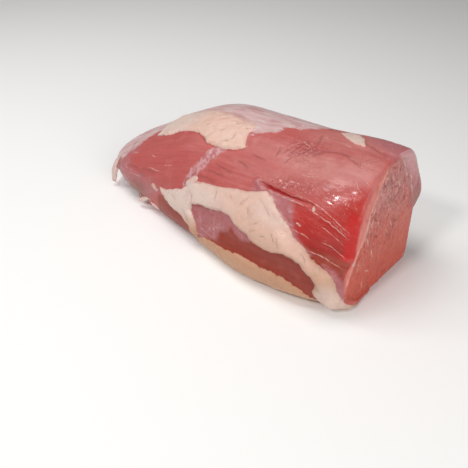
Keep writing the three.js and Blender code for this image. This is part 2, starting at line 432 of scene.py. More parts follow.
    def ring(
        self, along: float, shrink: float, swell: float, counts: Counts
    ) -> tuple[np.ndarray, np.ndarray]:
        """A section shrunk towards its middle and set in place, leaning as the cut face does.

        Args:
            along: Millimetres from the tip.
            shrink: The section's size, where 1 is whole.
            swell: How far the ring is moved out along the joint.
            counts: Points on the front, the base and the back.

        Returns:
            Rows of x, y and z, and how far round from the crown each point is.
        """
        place = along / LENGTH
        flat, around = self.section(place, counts)
        middle_y = flat[:, 0].mean()
        middle_z = self.crown_height.at(place) / 2
        height = middle_z + (flat[:, 1] - middle_z) * shrink
        lean = self.cut_lean * min(max((place - self.lean_start) / (1 - self.lean_start), 0.0), 1.0)
        x = along - lean * height + swell
        y = middle_y + (flat[:, 0] - middle_y) * shrink
        return np.stack([x, y, height], axis=1), around


# ---- What shows on the skin -----------------------------------------------------------------


@dataclass(frozen=True)
class FatPatch:
    """A layer of fat on the muscle."""

    outline: Path
    thickness: float
    lip: float = 2.6  # how far in from its edge it reaches its thickness
    thin_edge: Path = ()  # the stretch of its edge that thins away to nothing

    def softness(self, spots: np.ndarray) -> np.ndarray:
        """How near each spot is to where the patch thins away, from 0 to 1."""
        return fade(2.0, 14.0, path_distance(spots, self.thin_edge))


@dataclass(frozen=True)
class Film:
    """A stretch of skin under a lilac membrane."""

    outline: Path
    softness: float = 1.0


@dataclass(frozen=True)
class Stroke:
    """A strip along a path on the skin: a ridge, a groove where its rise is negative, or a colour alone."""

    path: Path
    half_width: float
    rise: float = 0.0

    def depth(self, spots: np.ndarray) -> np.ndarray:
        """How deep each spot is inside the stroke, negative outside it."""
        return self.half_width - path_distance(spots, self.path)

    def relief(self, spots: np.ndarray) -> np.ndarray:
        """How far the stroke lifts the skin at each spot."""
        return self.rise * fade(0.0, self.half_width, path_distance(spots, self.path))


@dataclass(frozen=True)
class Blush:
    """A soft round stretch of another colour."""

    at: Spot
    reach: Spot
    strength: float = 1.0

    def share(self, spots: np.ndarray) -> np.ndarray:
        """How strongly the blush shows at each spot."""
        return self.strength * fade(0.3, 1.0, np.linalg.norm((spots - self.at) / self.reach, axis=1))


@dataclass(frozen=True)
class Pull:
    """A tag pulled out of the skin round one spot."""

    at: Spot
    radius: float
    reach: Triple

    def moves(self, spots: np.ndarray) -> np.ndarray:
        """How far each point is pulled, in millimetres along each axis."""
        return np.outer(fade(0.0, self.radius, np.linalg.norm(spots - self.at, axis=1)), self.reach)


CAP = FatPatch(
    thickness=1.5, lip=3.2,
    outline=(
        (56, 29), (53, 22), (51, 12), (54, 3), (62, -2), (79, 4), (92, 6), (106, 9), (118, 11),
        (129, 14), (137, 13), (143, 14), (143, 22), (143, 28), (149, 37), (141, 41), (132, 43),
        (124, 43), (116, 42), (110, 38), (102, 34), (91, 31), (79, 31), (74, 33), (66, 32)),
    thin_edge=((49, 12), (54, 0), (62, -5), (79, 0), (92, 3), (106, 6), (118, 9), (129, 12), (138, 11)))
SEAM_FAT = FatPatch(thickness=2.4, lip=2.2, outline=(
    (86, 82), (95, 84), (103, 83), (110, 82), (116, 79), (120, 75), (124, 73), (133, 72),
    (147, 71), (159, 68), (172, 67), (179, 65), (188, 62), (195, 65), (202, 71), (210, 76),
    (219, 81), (224, 87), (233, 91), (239, 96), (249, 99), (255, 102), (259, 112), (264, 132),
    (264, 146), (257, 141), (247, 130), (243, 121), (245, 115), (242, 108), (236, 103),
    (229, 101), (222, 100), (213, 102), (203, 102), (191, 99), (188, 96), (173, 92), (166, 88),
    (158, 87), (146, 89), (134, 89), (127, 91), (127, 95), (130, 99), (134, 103), (137, 108),
    (138, 117), (134, 117), (130, 114), (126, 109), (117, 103.5), (108, 100), (102, 96.5),
    (95, 91), (90, 88)))
FOOT_STRIP = FatPatch(thickness=1.8, lip=2.2, outline=(
    (134, 118), (147, 113), (158, 113), (169, 114), (184, 113), (201, 116), (216, 118),
    (227, 120), (236, 124), (243, 130), (250, 135), (264, 143), (264, 160), (228, 150),
    (177, 151), (150, 138), (138, 128)))
CROWN_PATCH = FatPatch(thickness=0.7, lip=1.5, outline=(
    (206, -2), (213, -6), (223, -4), (230, 0), (237, 8), (228, 8), (216, 3)))
BACK_STRIP = FatPatch(
    thickness=1.4,
    outline=(
        (58, -88), (92, -84), (128, -92), (170, -90), (214, -99), (236, -106), (226, -114),
        (180, -112), (134, -117), (92, -108), (66, -101)),
    thin_edge=((58, -84), (92, -80), (128, -88), (170, -86), (214, -95)))
FAT_PATCHES = (CAP, SEAM_FAT, FOOT_STRIP, CROWN_PATCH, BACK_STRIP)

FILMS = (
    Film(softness=3.0, outline=(  # round the tip
        (-10, -150), (26, -150), (32, -60), (35, -12), (48, 0), (52, 8), (50, 18), (42, 22), (36, 26),
        (38, 33), (44, 40), (38, 45), (41, 53), (47, 60), (58, 67), (66, 73), (76, 79), (85, 85),
        (78, 89), (66, 91), (58, 99), (52, 110), (40, 125), (30, 160), (-10, 160))),
    Film(outline=(  # under the end of the muscle seam
        (172, 58), (174, 55), (178, 56), (184, 60), (199, 61), (213, 62), (216, 69), (219, 77),
        (226, 86), (238, 94), (228, 92), (216, 82), (202, 74), (188, 66), (176, 68))),
    Film(softness=1.5, outline=(  # the left of the window in the seam fat
        (124, 92), (146, 88), (158, 87), (171, 88), (173, 92), (168, 98), (160, 103), (158, 110),
        (148, 113), (141, 116), (132, 114), (124, 103))),
    Film(outline=(  # a scrap in the window
        (168, 90), (174, 90), (185, 94), (191, 100), (185, 102), (177, 99), (171, 95))),
    Film(softness=3.5, outline=(  # along the back of the crown
        (216, -10), (226, -7), (234, -3), (242, 2), (250, 5), (258, 8), (267, 9), (267, -18), (216, -18))),
    Film(outline=(  # under the last of the seam fat
        (247, 97), (256, 97), (262, 104), (266, 118), (262, 124), (255, 110))),
)
BAND = Stroke(
    path=((130, 42), (124, 51), (121, 58), (118, 64), (116, 70), (115, 78)), half_width=4.4, rise=0.6)
RED_EDGE = Stroke(path=((260, 62), (261, 72), (261, 80), (260, 96)), half_width=6.0)
# The outlines of the other tissues on the side; the lower lean's tone has painted shade in it.
REGIONS: dict[str, Path] = {
    "silverskin": (
        (30, -95), (6, -60), (6, 0), (9, 24), (17, 38), (29, 44), (38, 36), (45, 25), (52, 17), (60, 10),
        (92, 12), (120, 14), (138, 16), (146, 24), (154, 19), (161, 17), (164, 10), (170, 7), (177, 6),
        (184, 1), (191, -3), (202, -13), (232, -14), (266, -14), (266, -84), (220, -80), (170, -78),
        (120, -72), (80, -74), (50, -84)),
    "fresh": (
        (207, 62), (216, 63), (228, 62), (244, 59), (251, 50), (256, 42), (266, 40), (274, 60), (274, 106),
        (252, 101), (240, 96), (226, 88), (219, 80), (215, 70)),
    # the lower lean: its own darker red, with painted shade over it
    "lower": (
        (84, 89), (262, 89), (262, 150), (84, 150)),
}
BLUSHES: dict[str, tuple[Blush, ...]] = {
    # paler lean over the top: a drier bloom, with the overhead light's sheen painted in
    "haze": (
        Blush(at=(212, 35), reach=(46, 17)),
        Blush(at=(172, 32), reach=(34, 13), strength=0.5),
        Blush(at=(246, 25), reach=(26, 19)),
        Blush(at=(172, 50), reach=(40, 10), strength=0.35),
        Blush(at=(220, 5), reach=(56, 19)),
    ),
    "crackle": (
        Blush(at=(196, 22), reach=(26, 17)),
        Blush(at=(246, 18), reach=(18, 14), strength=0.6),
        Blush(at=(206, 53), reach=(30, 7), strength=0.8),
    ),
    "wet": (
        Blush(at=(243, 50), reach=(24, 15)),
        Blush(at=(208, 53), reach=(38, 9)),
        Blush(at=(240, 72), reach=(34, 24), strength=0.2),
    ),
    # where glints are painted on the raised fibres of the fresh muscle
    "ridge_glinting": (
        Blush(at=(245, 68), reach=(25, 17)),
        Blush(at=(246, 88), reach=(22, 8), strength=0.5),
        Blush(at=(244, 45), reach=(18, 8), strength=0.5),
    ),
    # painted shade on the film over the tip's lower part
    "painted_shade": (
        Blush(at=(44, 84), reach=(32, 20)),
        Blush(at=(18, 54), reach=(18, 18), strength=0.6),
    ),
    "white_fat": (
        Blush(at=(118, 88), reach=(62, 26)),
        Blush(at=(205, 76), reach=(30, 12), strength=0.4),
        Blush(at=(254, 122), reach=(16, 20), strength=0.8),
        Blush(at=(66, 16), reach=(42, 26), strength=0.9),
        Blush(at=(222, 0), reach=(20, 12), strength=0.8),
    ),
}

MUSCLE_SEAM = Stroke(
    path=((178, 57.5), (190, 59), (198, 60), (207, 61), (216, 61.5), (228, 62)), half_width=1.6, rise=-1.5)
SEAM_TEAR, LINE_TEAR = 1 / 3, 1 / 2  # how much of the tears' full moves thin lines get
FACE_LINE_CLOSENESS = 0.75  # points on the cut face count as this much nearer a line, which widens it
# Thin cracks in the lean, and nicks in the fat, all darkened with painted shade; one nick paints the shadow
# along the inner edge of the fat's leg.
CREASES: tuple[Path, ...] = (
    ((197, 7), (200, 13), (200, 20), (196, 26), (192, 31)),
    ((204, 26), (212, 21), (223, 19), (232, 21), (243, 25)), ((206, 27), (210, 20)),
    ((186, 31), (188, 24), (192, 17)), ((176, 35), (175, 28)), ((190, 26), (197, 22)),
    ((187, 38), (188, 31)), ((229, 1), (236, 4), (245, 7), (256, 10)), ((200, 26), (204, 22)),
    ((181, 30), (184, 24)), ((126, 62), (134, 62), (144, 63)), ((124, 68), (138, 69)),
    ((132, 56), (148, 58)), ((120, 74), (130, 74)), ((35, 40), (33, 34), (31, 27)), ((37, 36), (40, 26)),
    ((42, 55), (54, 61), (64, 70)), ((60, 62), (76, 68)), ((158, 40), (170, 41)), ((150, 48), (161, 50)),
)
NICKS: tuple[Path, ...] = (
    ((132, 36), (134, 32), (134, 28)), ((111, 21), (114, 18), (117, 16)), ((104, 27), (108, 25)),
    ((111, 39), (114, 35)), ((128, 38), (132, 35)), ((172, 79), (174, 75), (178, 70)),
    ((186, 69), (192, 72), (198, 76), (203, 80)), ((146, 74), (148, 78), (149, 82)), ((208, 89), (214, 95)),
    ((213, 90), (218, 98)), ((200, 93), (206, 93)), ((190, 93), (195, 91)), ((190, 88), (195, 85)),
    ((119, 79), (125, 84), (128, 91)), ((103, 87), (109, 91)), ((120, 97), (126, 104), (132, 113)),
    # the first path here is a painted shadow along the inner edge of the fat's leg, over a shallow groove
    ((214, 101), (229, 100.5), (237, 103.5), (242.5, 108.5), (244.5, 115)), ((180, 78), (184, 82)),
    ((160, 74), (163, 76)), ((98, 22), (101, 19)), ((120, 30), (123, 27)), ((138, 22), (142, 19)),
    ((232, 95), (238, 100)),
)
RIDGES = (
    Stroke(
        path=((150, 83), (172, 86), (192, 92), (206, 96), (222, 96), (240, 103)), half_width=8.0, rise=0.8),
    Stroke(path=((240, 101), (249, 108), (253, 118), (256, 134)), half_width=7.0, rise=2.6),
    Stroke(path=((173, 57), (177, 58), (182, 62)), half_width=3.2, rise=1.0),
    Stroke(path=((55, 27), (61, 30), (70, 31)), half_width=3.4, rise=0.9),
    Stroke(path=((124, 98), (135, 112)), half_width=2.0, rise=0.5),
    Stroke(path=((148, 101), (185, 107), (225, 112)), half_width=9.0, rise=-1.1),
)
FAT_FLECKS = (
    Stroke(path=((116, 76), (121, 71), (118, 78)), half_width=2.4, rise=0.4),
    Stroke(path=((76, 79), (82, 85)), half_width=1.3, rise=0.7),
    Stroke(path=((222, 77), (225, 77.5)), half_width=1.0, rise=0.4),
    Stroke(path=((230, 63.5), (231, 66)), half_width=1.0, rise=0.3),
)
PULLS = (
    Pull(at=(22, 50), radius=7, reach=(-1.5, -1.5, -2)),
    Pull(at=(54, 91), radius=6, reach=(-2, -2, -1)),
    Pull(at=(72, 99), radius=6, reach=(-2, -2, -1)),
)

# Pale threads of sinew, some of them glints painted along the fresh muscle's fibre ridges and at the tip, and
# what shows on the cut face as places across and up.
SINEWS_AND_GLINTS: tuple[Path, ...] = (
    ((148, 107), (150, 103), (152, 99), (152, 95)), ((150, 101), (156, 105)),
    ((128, 99), (131, 104), (139, 108)), ((126, 103), (129, 109), (130, 114)),
    ((157, 110), (147, 109), (139, 105)), ((134, 112), (141, 113), (150, 116)),
    ((181, 60.5), (190, 61.5), (199, 62.5), (208, 63.5), (218, 64), (230, 65)),
    ((206, 60), (216, 59.5), (226, 60), (236, 62), (247, 65), (257, 69), (261, 72)),
    ((224, 65), (234, 66.5), (243, 68), (253, 71), (260, 75)), ((238, 72), (246, 74), (256, 79)),
    ((219, 82), (227, 82.5), (235, 84)), ((233, 92), (242, 91.5), (251, 93), (260, 95)),
    ((241, 82), (248, 83), (258, 88)), ((248, 36), (252, 40), (257, 42)), ((254, 33), (259, 36)),
    ((200, 7), (205, 9)), ((186, 37), (188, 31)), ((181, 25), (187, 18)), ((187, 17), (199, 21)),
    ((38, 42), (42, 43), (46, 44)), ((26, 42), (32, 36)), ((36, 55), (40, 51)), ((34, 53), (41, 58)),
    ((21, 42), (26, 38), (30, 34)), ((22, 54), (34, 63), (45, 73), (54, 82), (57, 90), (68, 99)),
    ((44, 62), (60, 70)), ((84, 63), (93, 63)), ((66, 62), (76, 66), (83, 68)), ((65, 51), (71, 54)),
    ((206, 44), (221, 44)), ((86, 84), (90, 89), (100, 98)), ((214, 9), (229, 12)),
)
FACE_THREADS: tuple[Path, ...] = (
    ((-14, 52), (-12, 43)), ((5, 41), (8, 34), (9, 27)), ((-8, 40), (-7, 30)),
    ((-33, 45), (-28, 37), (-25, 41)), ((-16, 26), (-9, 22), (-6, 29)), ((22, 8), (25, 14)),
    ((32, 4), (38, 7), (45, 5)), ((-5, 77), (0, 79), (4, 76)), ((-17, 17), (-15, 7)), ((-10, 58), (-7, 64)),
    ((-12, 66), (-14, 57), (-16, 50)), ((-6, 72), (-9, 64)), ((-3, 60), (0, 54)), ((-22, 36), (-24, 28)),
    ((14, 52), (16, 46)), ((24, 97), (30, 86), (34, 74)), ((38, 80), (42, 66), (44, 56)),
    ((9, 66), (9, 72)), ((8, 48), (12, 43)),
)
FACE_CREASES: tuple[Path, ...] = (
    ((14, 79), (9, 70)), ((25, 91), (20, 81)), ((19, 84), (14, 73)), ((31, 79), (27, 68)),
    ((16, 93), (11, 85)), ((34, 70), (30, 60)), ((41, 61), (37, 52)), ((44, 72), (40, 62)),
    ((37, 84), (34, 76)), ((22, 72), (19, 63)), ((5, 86), (2, 79)), ((2, 72), (-1, 64)),
    ((12, 60), (9, 52)),
)
FACE_REGIONS: dict[str, Path] = {
    "rim": (
        (-42, 12), (-34, 24), (-29, 34), (-22, 44), (-17, 51), (-14, 58), (-10, 67), (-5, 77), (1, 86),
        (9, 93), (16, 97), (30, 112), (-70, 112), (-70, 12)),
    "veil": (
        (18, 104), (21, 98), (27, 90), (33, 80), (38, 68), (42, 58), (41, 52), (48, 46), (66, 44), (66, 110)),
}


# ---- Working in edit mode -------------------------------------------------------------------


def choose(*objects: bpy.types.Object) -> None:
    """Selects only these objects, the first one active, so that the next operator acts on them alone.

    Args:
        objects: The objects, or none, which leaves nothing selected.
    """
    bpy.ops.object.select_all(action="DESELECT")
    for obj in objects:
        obj.select_set(True)
    if objects:
        bpy.context.view_layer.objects.active = objects[0]


@contextmanager
def editing(obj: bpy.types.Object) -> Iterator[None]:
    """Edit mode on one object, and object mode again at the end.

    Args:
        obj: The mesh object.

    Returns:
        A context, for a with statement.
    """
    choose(obj)
    bpy.ops.object.mode_set(mode="EDIT")
    yield
    bpy.ops.object.mode_set(mode="OBJECT")


def extrude(by: Triple, times: int = 1) -> None:
    """Extrudes what is selected, in metres along each axis, as often as wanted."""
    for _ in range(times):
        bpy.ops.mesh.extrude_region_move(TRANSFORM_OT_translate={"value": by})


def face_outwards() -> None:
    """Turns every face of the mesh in edit mode outwards."""
    bpy.ops.mesh.select_all(action="SELECT")
    bpy.ops.mesh.normals_make_consistent(inside=False)


def read(rows: Sequence[object], name: str, width: int = 3) -> np.ndarray:
    """Numbers that a mesh keeps.

    Args:
        rows: The mesh's points, normals or kept values.
        name: What is wanted of each.
        width: How many numbers that is.

    Returns:
        One row for each.
    """
    values = np.empty(len(rows) * width, np.float32)
    rows.foreach_get(name, values)
    return values.astype(float).reshape(-1, width)


def positions(obj: bpy.types.Object) -> np.ndarray:
    """The mesh's points, one row each, in metres."""
    return read(obj.data.vertices, "co")


def set_positions(obj: bpy.types.Object, points: np.ndarray) -> None:
    """Moves the mesh's points to new places in metres, one row each."""
    obj.data.vertices.foreach_set("co", points.ravel())
    obj.data.update()


def store(obj: bpy.types.Object, name: str, values: np.ndarray) -> None:
    """Keeps one number for each point of a mesh, under a name."""
    attribute = obj.data.attributes.new(name, "FLOAT", "POINT")
    attribute.data.foreach_set("value", np.ascontiguousarray(values, np.float32))


def recall(obj: bpy.types.Object, name: str) -> np.ndarray:
    """The numbers kept for the points of a mesh."""
    return read(obj.data.attributes[name].data, "value", 1)[:, 0]


def skin_spots(obj: bpy.types.Object) -> np.ndarray:
    """Where each point is on the skin, in millimetres along and round."""
    return np.stack([recall(obj, "along"), recall(obj, "around")], axis=1)


def finished(obj: bpy.types.Object, name: str, material: bpy.types.Material) -> bpy.types.Object:
    """Names and dresses a piece, and tells the frame what it rides on.

    Args:
        obj: The shaped piece.
        name: Its name.
        material: Its material.

    Returns:
        The finished piece.
    """
    obj.name = obj.data.name = name
    obj.data.materials.clear()
    obj.data.materials.append(material)
    choose(obj)
    bpy.ops.object.shade_smooth()
    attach(obj, BODY)
    return obj


# ---- Finishes -------------------------------------------------------------------------------


class Value:
    """A number or a colour that nodes work out, with plain arithmetic on numbers."""

    def __init__(self, tree: "NodeTree", socket: bpy.types.NodeSocket) -> None:
        """Holds one node's output."""
        self.tree = tree
        self.socket = socket

    def __add__(self, other: "Amount") -> "Value":
        """The sum."""
        return self.tree.math("ADD", self, other)

    def __sub__(self, other: "Amount") -> "Value":
        """The difference."""
        return self.tree.math("SUBTRACT", self, other)

    def __rsub__(self, other: float) -> "Value":
        """The difference from a plain number."""
        return self.tree.math("SUBTRACT", other, self)

    def __mul__(self, other: "Amount") -> "Value":
        """The product."""
        return self.tree.math("MULTIPLY", self, other)

    def __truediv__(self, other: "Amount") -> "Value":
        """The quotient."""
        return self.tree.math("DIVIDE", self, other)

    def __abs__(self) -> "Value":
        """The number without its sign."""
        return self.tree.math("ABSOLUTE", self)

    def most(self, other: "Amount") -> "Value":
        """The larger of two numbers."""
        return self.tree.math("MAXIMUM", self, other)

    def step(self, low: float, high: float, end: float = 1.0, start: float = 0.0) -> "Value":
        """A soft step of the number, from start at low to end at high."""
        ranges = {"From Min": low, "From Max": high, "To Min": start, "To Max": end}
        return self.tree.add("MapRange", {"Value": self, **ranges}, "Result", interpolation_type="SMOOTHSTEP")


Amount = Value | float
Paint = Value | Colour


class NodeTree:
    """A material's nodes, added and joined one at a time."""

    def __init__(self, name: str) -> None:
        """Starts an empty material of the given name.

        Args:
            name: The material's name.
        """
        self.material = bpy.data.materials.new(name)
        self.material.use_nodes = True
        self.tree = self.material.node_tree
        self.tree.nodes.clear()

    def add(
        self, kind: str, inputs: dict[str | int, object], output: str | int = 0, **settings: object
    ) -> Value:
        """Adds a node.

        Args:
            kind: Its type, less the first word.
            inputs: What its inputs get, by name or number.
            output: The output wanted, by name or number.
            settings: Its own settings.

        Returns:
            The output.
        """
        node = self.tree.nodes.new("ShaderNode" + kind)
        for name, setting in settings.items():
            setattr(node, name, setting)
        for name, value in inputs.items():
            self._feed(node.inputs[name], value)
        return Value(self, node.outputs[output])

    def _feed(self, socket: bpy.types.NodeSocket, value: object) -> None:
        """Sets a socket, or joins it to another node's output.

        Args:
            socket: The input.
            value: A number, a colour or another node's output.
        """
        if isinstance(value, Value):
            self.tree.links.new(value.socket, socket)
        elif socket.type == "RGBA":
            socket.default_value = (*value, 1.0)
        else:
            socket.default_value = value

    def surfaced(self, inputs: dict[str, object]) -> bpy.types.Material:
        """Ends the material with its shader, and gives it back.

        Args:
            inputs: What the shader's inputs get, by name.

        Returns:
            The finished material.
        """
        output = self.tree.nodes.new("ShaderNodeOutputMaterial")
        self._feed(output.inputs["Surface"], self.add("BsdfPrincipled", inputs))
        return self.material

    def math(self, operation: str, *values: Amount) -> Value:
        """A Math node on one or two numbers."""
        return self.add("Math", dict(enumerate(values)), operation=operation)

    def mix(self, share: Amount, low: Paint, high: Paint) -> Value:
        """A blend of two colours."""
        return self.add("Mix", {0: share, 6: low, 7: high}, 2, data_type="RGBA")

    def blend(self, share: Amount, low: Amount, high: Amount) -> Value:
        """A blend of two numbers."""
        return self.add("Mix", {0: share, 2: low, 3: high}, 0, data_type="FLOAT")

    def over(self, ground: Paint, *coats: tuple[Amount, Paint]) -> Paint:
        """A colour with others laid over it in turn, each with its share.

        Args:
            ground: The lowest colour.
            coats: The share and the colour of each coat.

        Returns:
            The colour on top.
        """
        for share, coat in coats:
            ground = self.mix(share, ground, coat)
        return ground

    def _stretched(self, vector: Value, size: Size) -> Value:
        """Coordinates scaled so that one unit is the given size on each axis."""
        sizes = size if isinstance(size, tuple) else (size, size, size)
        return self.add("Mapping", {"Vector": vector, "Scale": tuple(1.0 / (part * MM) for part in sizes)})

    def noise(self, vector: Value, size: Size, detail: float = 2.0, roughness: float = 0.5,
              distortion: float = 0.0) -> Value:
        """Noise from 0 to 1 whose swells are about the given size."""
        shape = {"Scale": 1.0, "Detail": detail, "Roughness": roughness, "Distortion": distortion}
        return self.add("TexNoise", {"Vector": self._stretched(vector, size), **shape}, "Fac")

    def cells(self, vector: Value, size: Size) -> Value:
        """Distance to the middle of the nearest of many cells of the given size."""
        return self.add("TexVoronoi", {"Vector": self._stretched(vector, size), "Scale": 1.0}, "Distance")

    def net(self, vector: Value, size: Size, width: float) -> Value:
        """A net of thin winding lines, 1 in their middle and 0 away from them."""
        return abs(self.noise(vector, size, 3.0, 0.6) - 0.5).step(width, 0.0)

    def attribute(self, name: str) -> Value:
        """A number kept for each point of the mesh."""
        return self.add("Attribute", {}, "Fac", attribute_name=name)


@dataclass(frozen=True)
class Tone:
    """A tissue's colour, its colour in hollows, which also serves for painted shade, and its colour where it
    is dry or stretched, which also serves for painted glints and highlights.
    """

    plain: Colour
    deep: Colour
    pale: Colour


@dataclass(frozen=True)
class MeatFinish:
    """The tones and sizes of the joint's surface. Lengths are in millimetres."""

    lean: Tone = Tone((0.49, 0.104, 0.096), (0.38, 0.065, 0.06), (0.59, 0.20, 0.18))
    # paler lean over the top: a drier bloom, with the overhead light's sheen painted in
    bloom_and_sheen_lean: Tone = Tone((0.53, 0.170, 0.154), (0.43, 0.115, 0.105), (0.64, 0.29, 0.27))
    fresh: Tone = Tone((0.48, 0.035, 0.028), (0.33, 0.014, 0.011), (0.58, 0.10, 0.085))
    # painted shade on the fresh muscle towards the floor
    fresh_low: Tone = Tone((0.31, 0.008, 0.006), (0.23, 0.005, 0.004), (0.40, 0.03, 0.024))
    red_edge: Tone = Tone((0.54, 0.014, 0.013), (0.46, 0.010, 0.009), (0.60, 0.07, 0.06))
    # the lower lean: its own darker red, with painted shade over it
    lower: Tone = Tone((0.30, 0.036, 0.018), (0.20, 0.018, 0.010), (0.43, 0.10, 0.07))
    cut: Tone = Tone((0.58, 0.136, 0.103), (0.38, 0.065, 0.05), (0.70, 0.27, 0.22))
    cut_low: Tone = Tone((0.57, 0.078, 0.041), (0.36, 0.04, 0.026), (0.68, 0.18, 0.12))
    cut_top: Tone = Tone((0.63, 0.245, 0.225), (0.40, 0.12, 0.11), (0.76, 0.41, 0.38))
    rim: Tone = Tone((0.69, 0.185, 0.148), (0.60, 0.12, 0.10), (0.78, 0.36, 0.31))
    fat: Tone = Tone((0.71, 0.475, 0.395), (0.60, 0.37, 0.31), (0.77, 0.60, 0.51))
    white_fat: Tone = Tone((0.70, 0.545, 0.483), (0.58, 0.41, 0.38), (0.77, 0.66, 0.60))
    # the lower fat: painted shade, with warm bounce light painted in
    fat_shade_and_bounce: Tone = Tone((0.55, 0.300, 0.182), (0.47, 0.24, 0.14), (0.60, 0.36, 0.24))
    membrane: Tone = Tone((0.44, 0.155, 0.165), (0.34, 0.09, 0.085), (0.62, 0.34, 0.35))
    silverskin: Colour = (0.63, 0.445, 0.44)
    silverskin_pale: Colour = (0.73, 0.61, 0.60)
    # painted shade on membranes where they lie low
    painted_shade: Colour = (0.25, 0.080, 0.052)
    # pale sinew, also used for painted glints
    sinew_and_glint: Colour = (0.74, 0.44, 0.40)
    # painted shade inside the creases and nicks, over their darker red
    crack: Colour = (0.28, 0.03, 0.028)
    # painted shade in the nicks and dents of the fat
    nick_shade: Colour = (0.44, 0.25, 0.17)
    # painted shade deep in the muscle seam, over its dark red
    groove: Colour = (0.32, 0.003, 0.006)
    sinew_and_glint_width: float = 0.56  # half of it, as for the cracks
    crack_width: float = 0.4
    fibre_size: Triple = (15.0, 1.0, 1.0)
    bundle_size: Triple = (55.0, 5.5, 1.0)
    fat_grain: float = 2.2
    cut_grain: float = 1.7
    wander: float = 9.0  # how far the fibres wander from side to side
    lean_roughness: float = 0.38
    roughness: tuple[tuple[str, float], ...] = (
        ("fresh", 0.36), ("wet", 0.17), ("cut", 0.42), ("skin", 0.32), ("fat", 0.45), ("seam", 0.6))
    refraction: float = 1.42
    subsurface: float = 0.3
    subsurface_depth: float = 2.0
    subsurface_tint: Triple = (1.0, 0.35, 0.22)
    wet_coat: Spot = (0.03, 0.45)  # where dry and where wet
    wet_roughness: float = 0.1


@dataclass(frozen=True)
class ScrapFinish:
    """Loose scraps of sinew and fat. Lengths are in millimetres."""

    colour: Colour = (0.80, 0.58, 0.52)
    shade: float = 0.75  # how dark it is in its hollows
    mottle: float = 3.0
    roughness: float = 0.35
    subsurface: float = 0.3
    subsurface_depth: float = 1.0
    subsurface_tint: Triple = (1.0, 0.4, 0.3)

    def build(self) -> bpy.types.Material:
        """The finished material."""
        tree = NodeTree("scrap")
        hollow = tuple(part * self.shade for part in self.colour)
        mottling = tree.noise(tree.add("TexCoord", {}, "Object"), self.mottle)
        return tree.surfaced({
            "Base Color": tree.mix(mottling, hollow, self.colour),
            "Roughness": self.roughness,
            "Subsurface Weight": self.subsurface,
            "Subsurface Radius": self.subsurface_tint,
            "Subsurface Scale": self.subsurface_depth * MM,
        })


@dataclass(frozen=True)
class Edge:
    """How a tissue ends: how far three kinds of noise tear its edge, and half its blend, in millimetres."""

    fine: float
    wide: float
    streaky: float
    blend: float


EDGES = {
    "fat": Edge(2.1, 1.6, 0.0, 0.35),
    "fat_thick": Edge(5.0, 5.0, 0.0, 3.6),
    "membrane": Edge(3.0, 3.0, 2.0, 1.8),
    "silverskin": Edge(3.0, 5.0, 9.0, 1.8),
    "band": Edge(4.0, 3.0, 0.0, 1.2),
    "fresh": Edge(3.0, 9.0, 12.0, 7.0),
    "lower": Edge(2.0, 0.0, 0.0, 2.0),
    "red_edge": Edge(2.0, 3.0, 0.0, 3.0),
    "veil": Edge(6.0, 9.0, 0.0, 3.0),
    "rim": Edge(3.0, 3.0, 0.0, 1.6),
    "cut": Edge(0.8, 0.0, 0.0, 0.6),
}
# Masks by height: how high above the floor each starts, and where it is full.
LEVELS = {
    # painted shade on the fresh muscle towards the floor
    "fresh_low": (62, 34),
    "cut_top": (45, 82),
    # Low down the fat gets painted shade and warm bounce light, and the cut face a redder tone.
    "low": (60, 14),
    "veil_pale": (58, 94),
    # painted shade low on the veil at the cut face's corner
    "veil_painted_shade": (72, 50),
}


@dataclass(frozen=True)
class Surface:
    """What the shader gets: a colour and a height in millimetres."""

    colour: Value
    height: Value


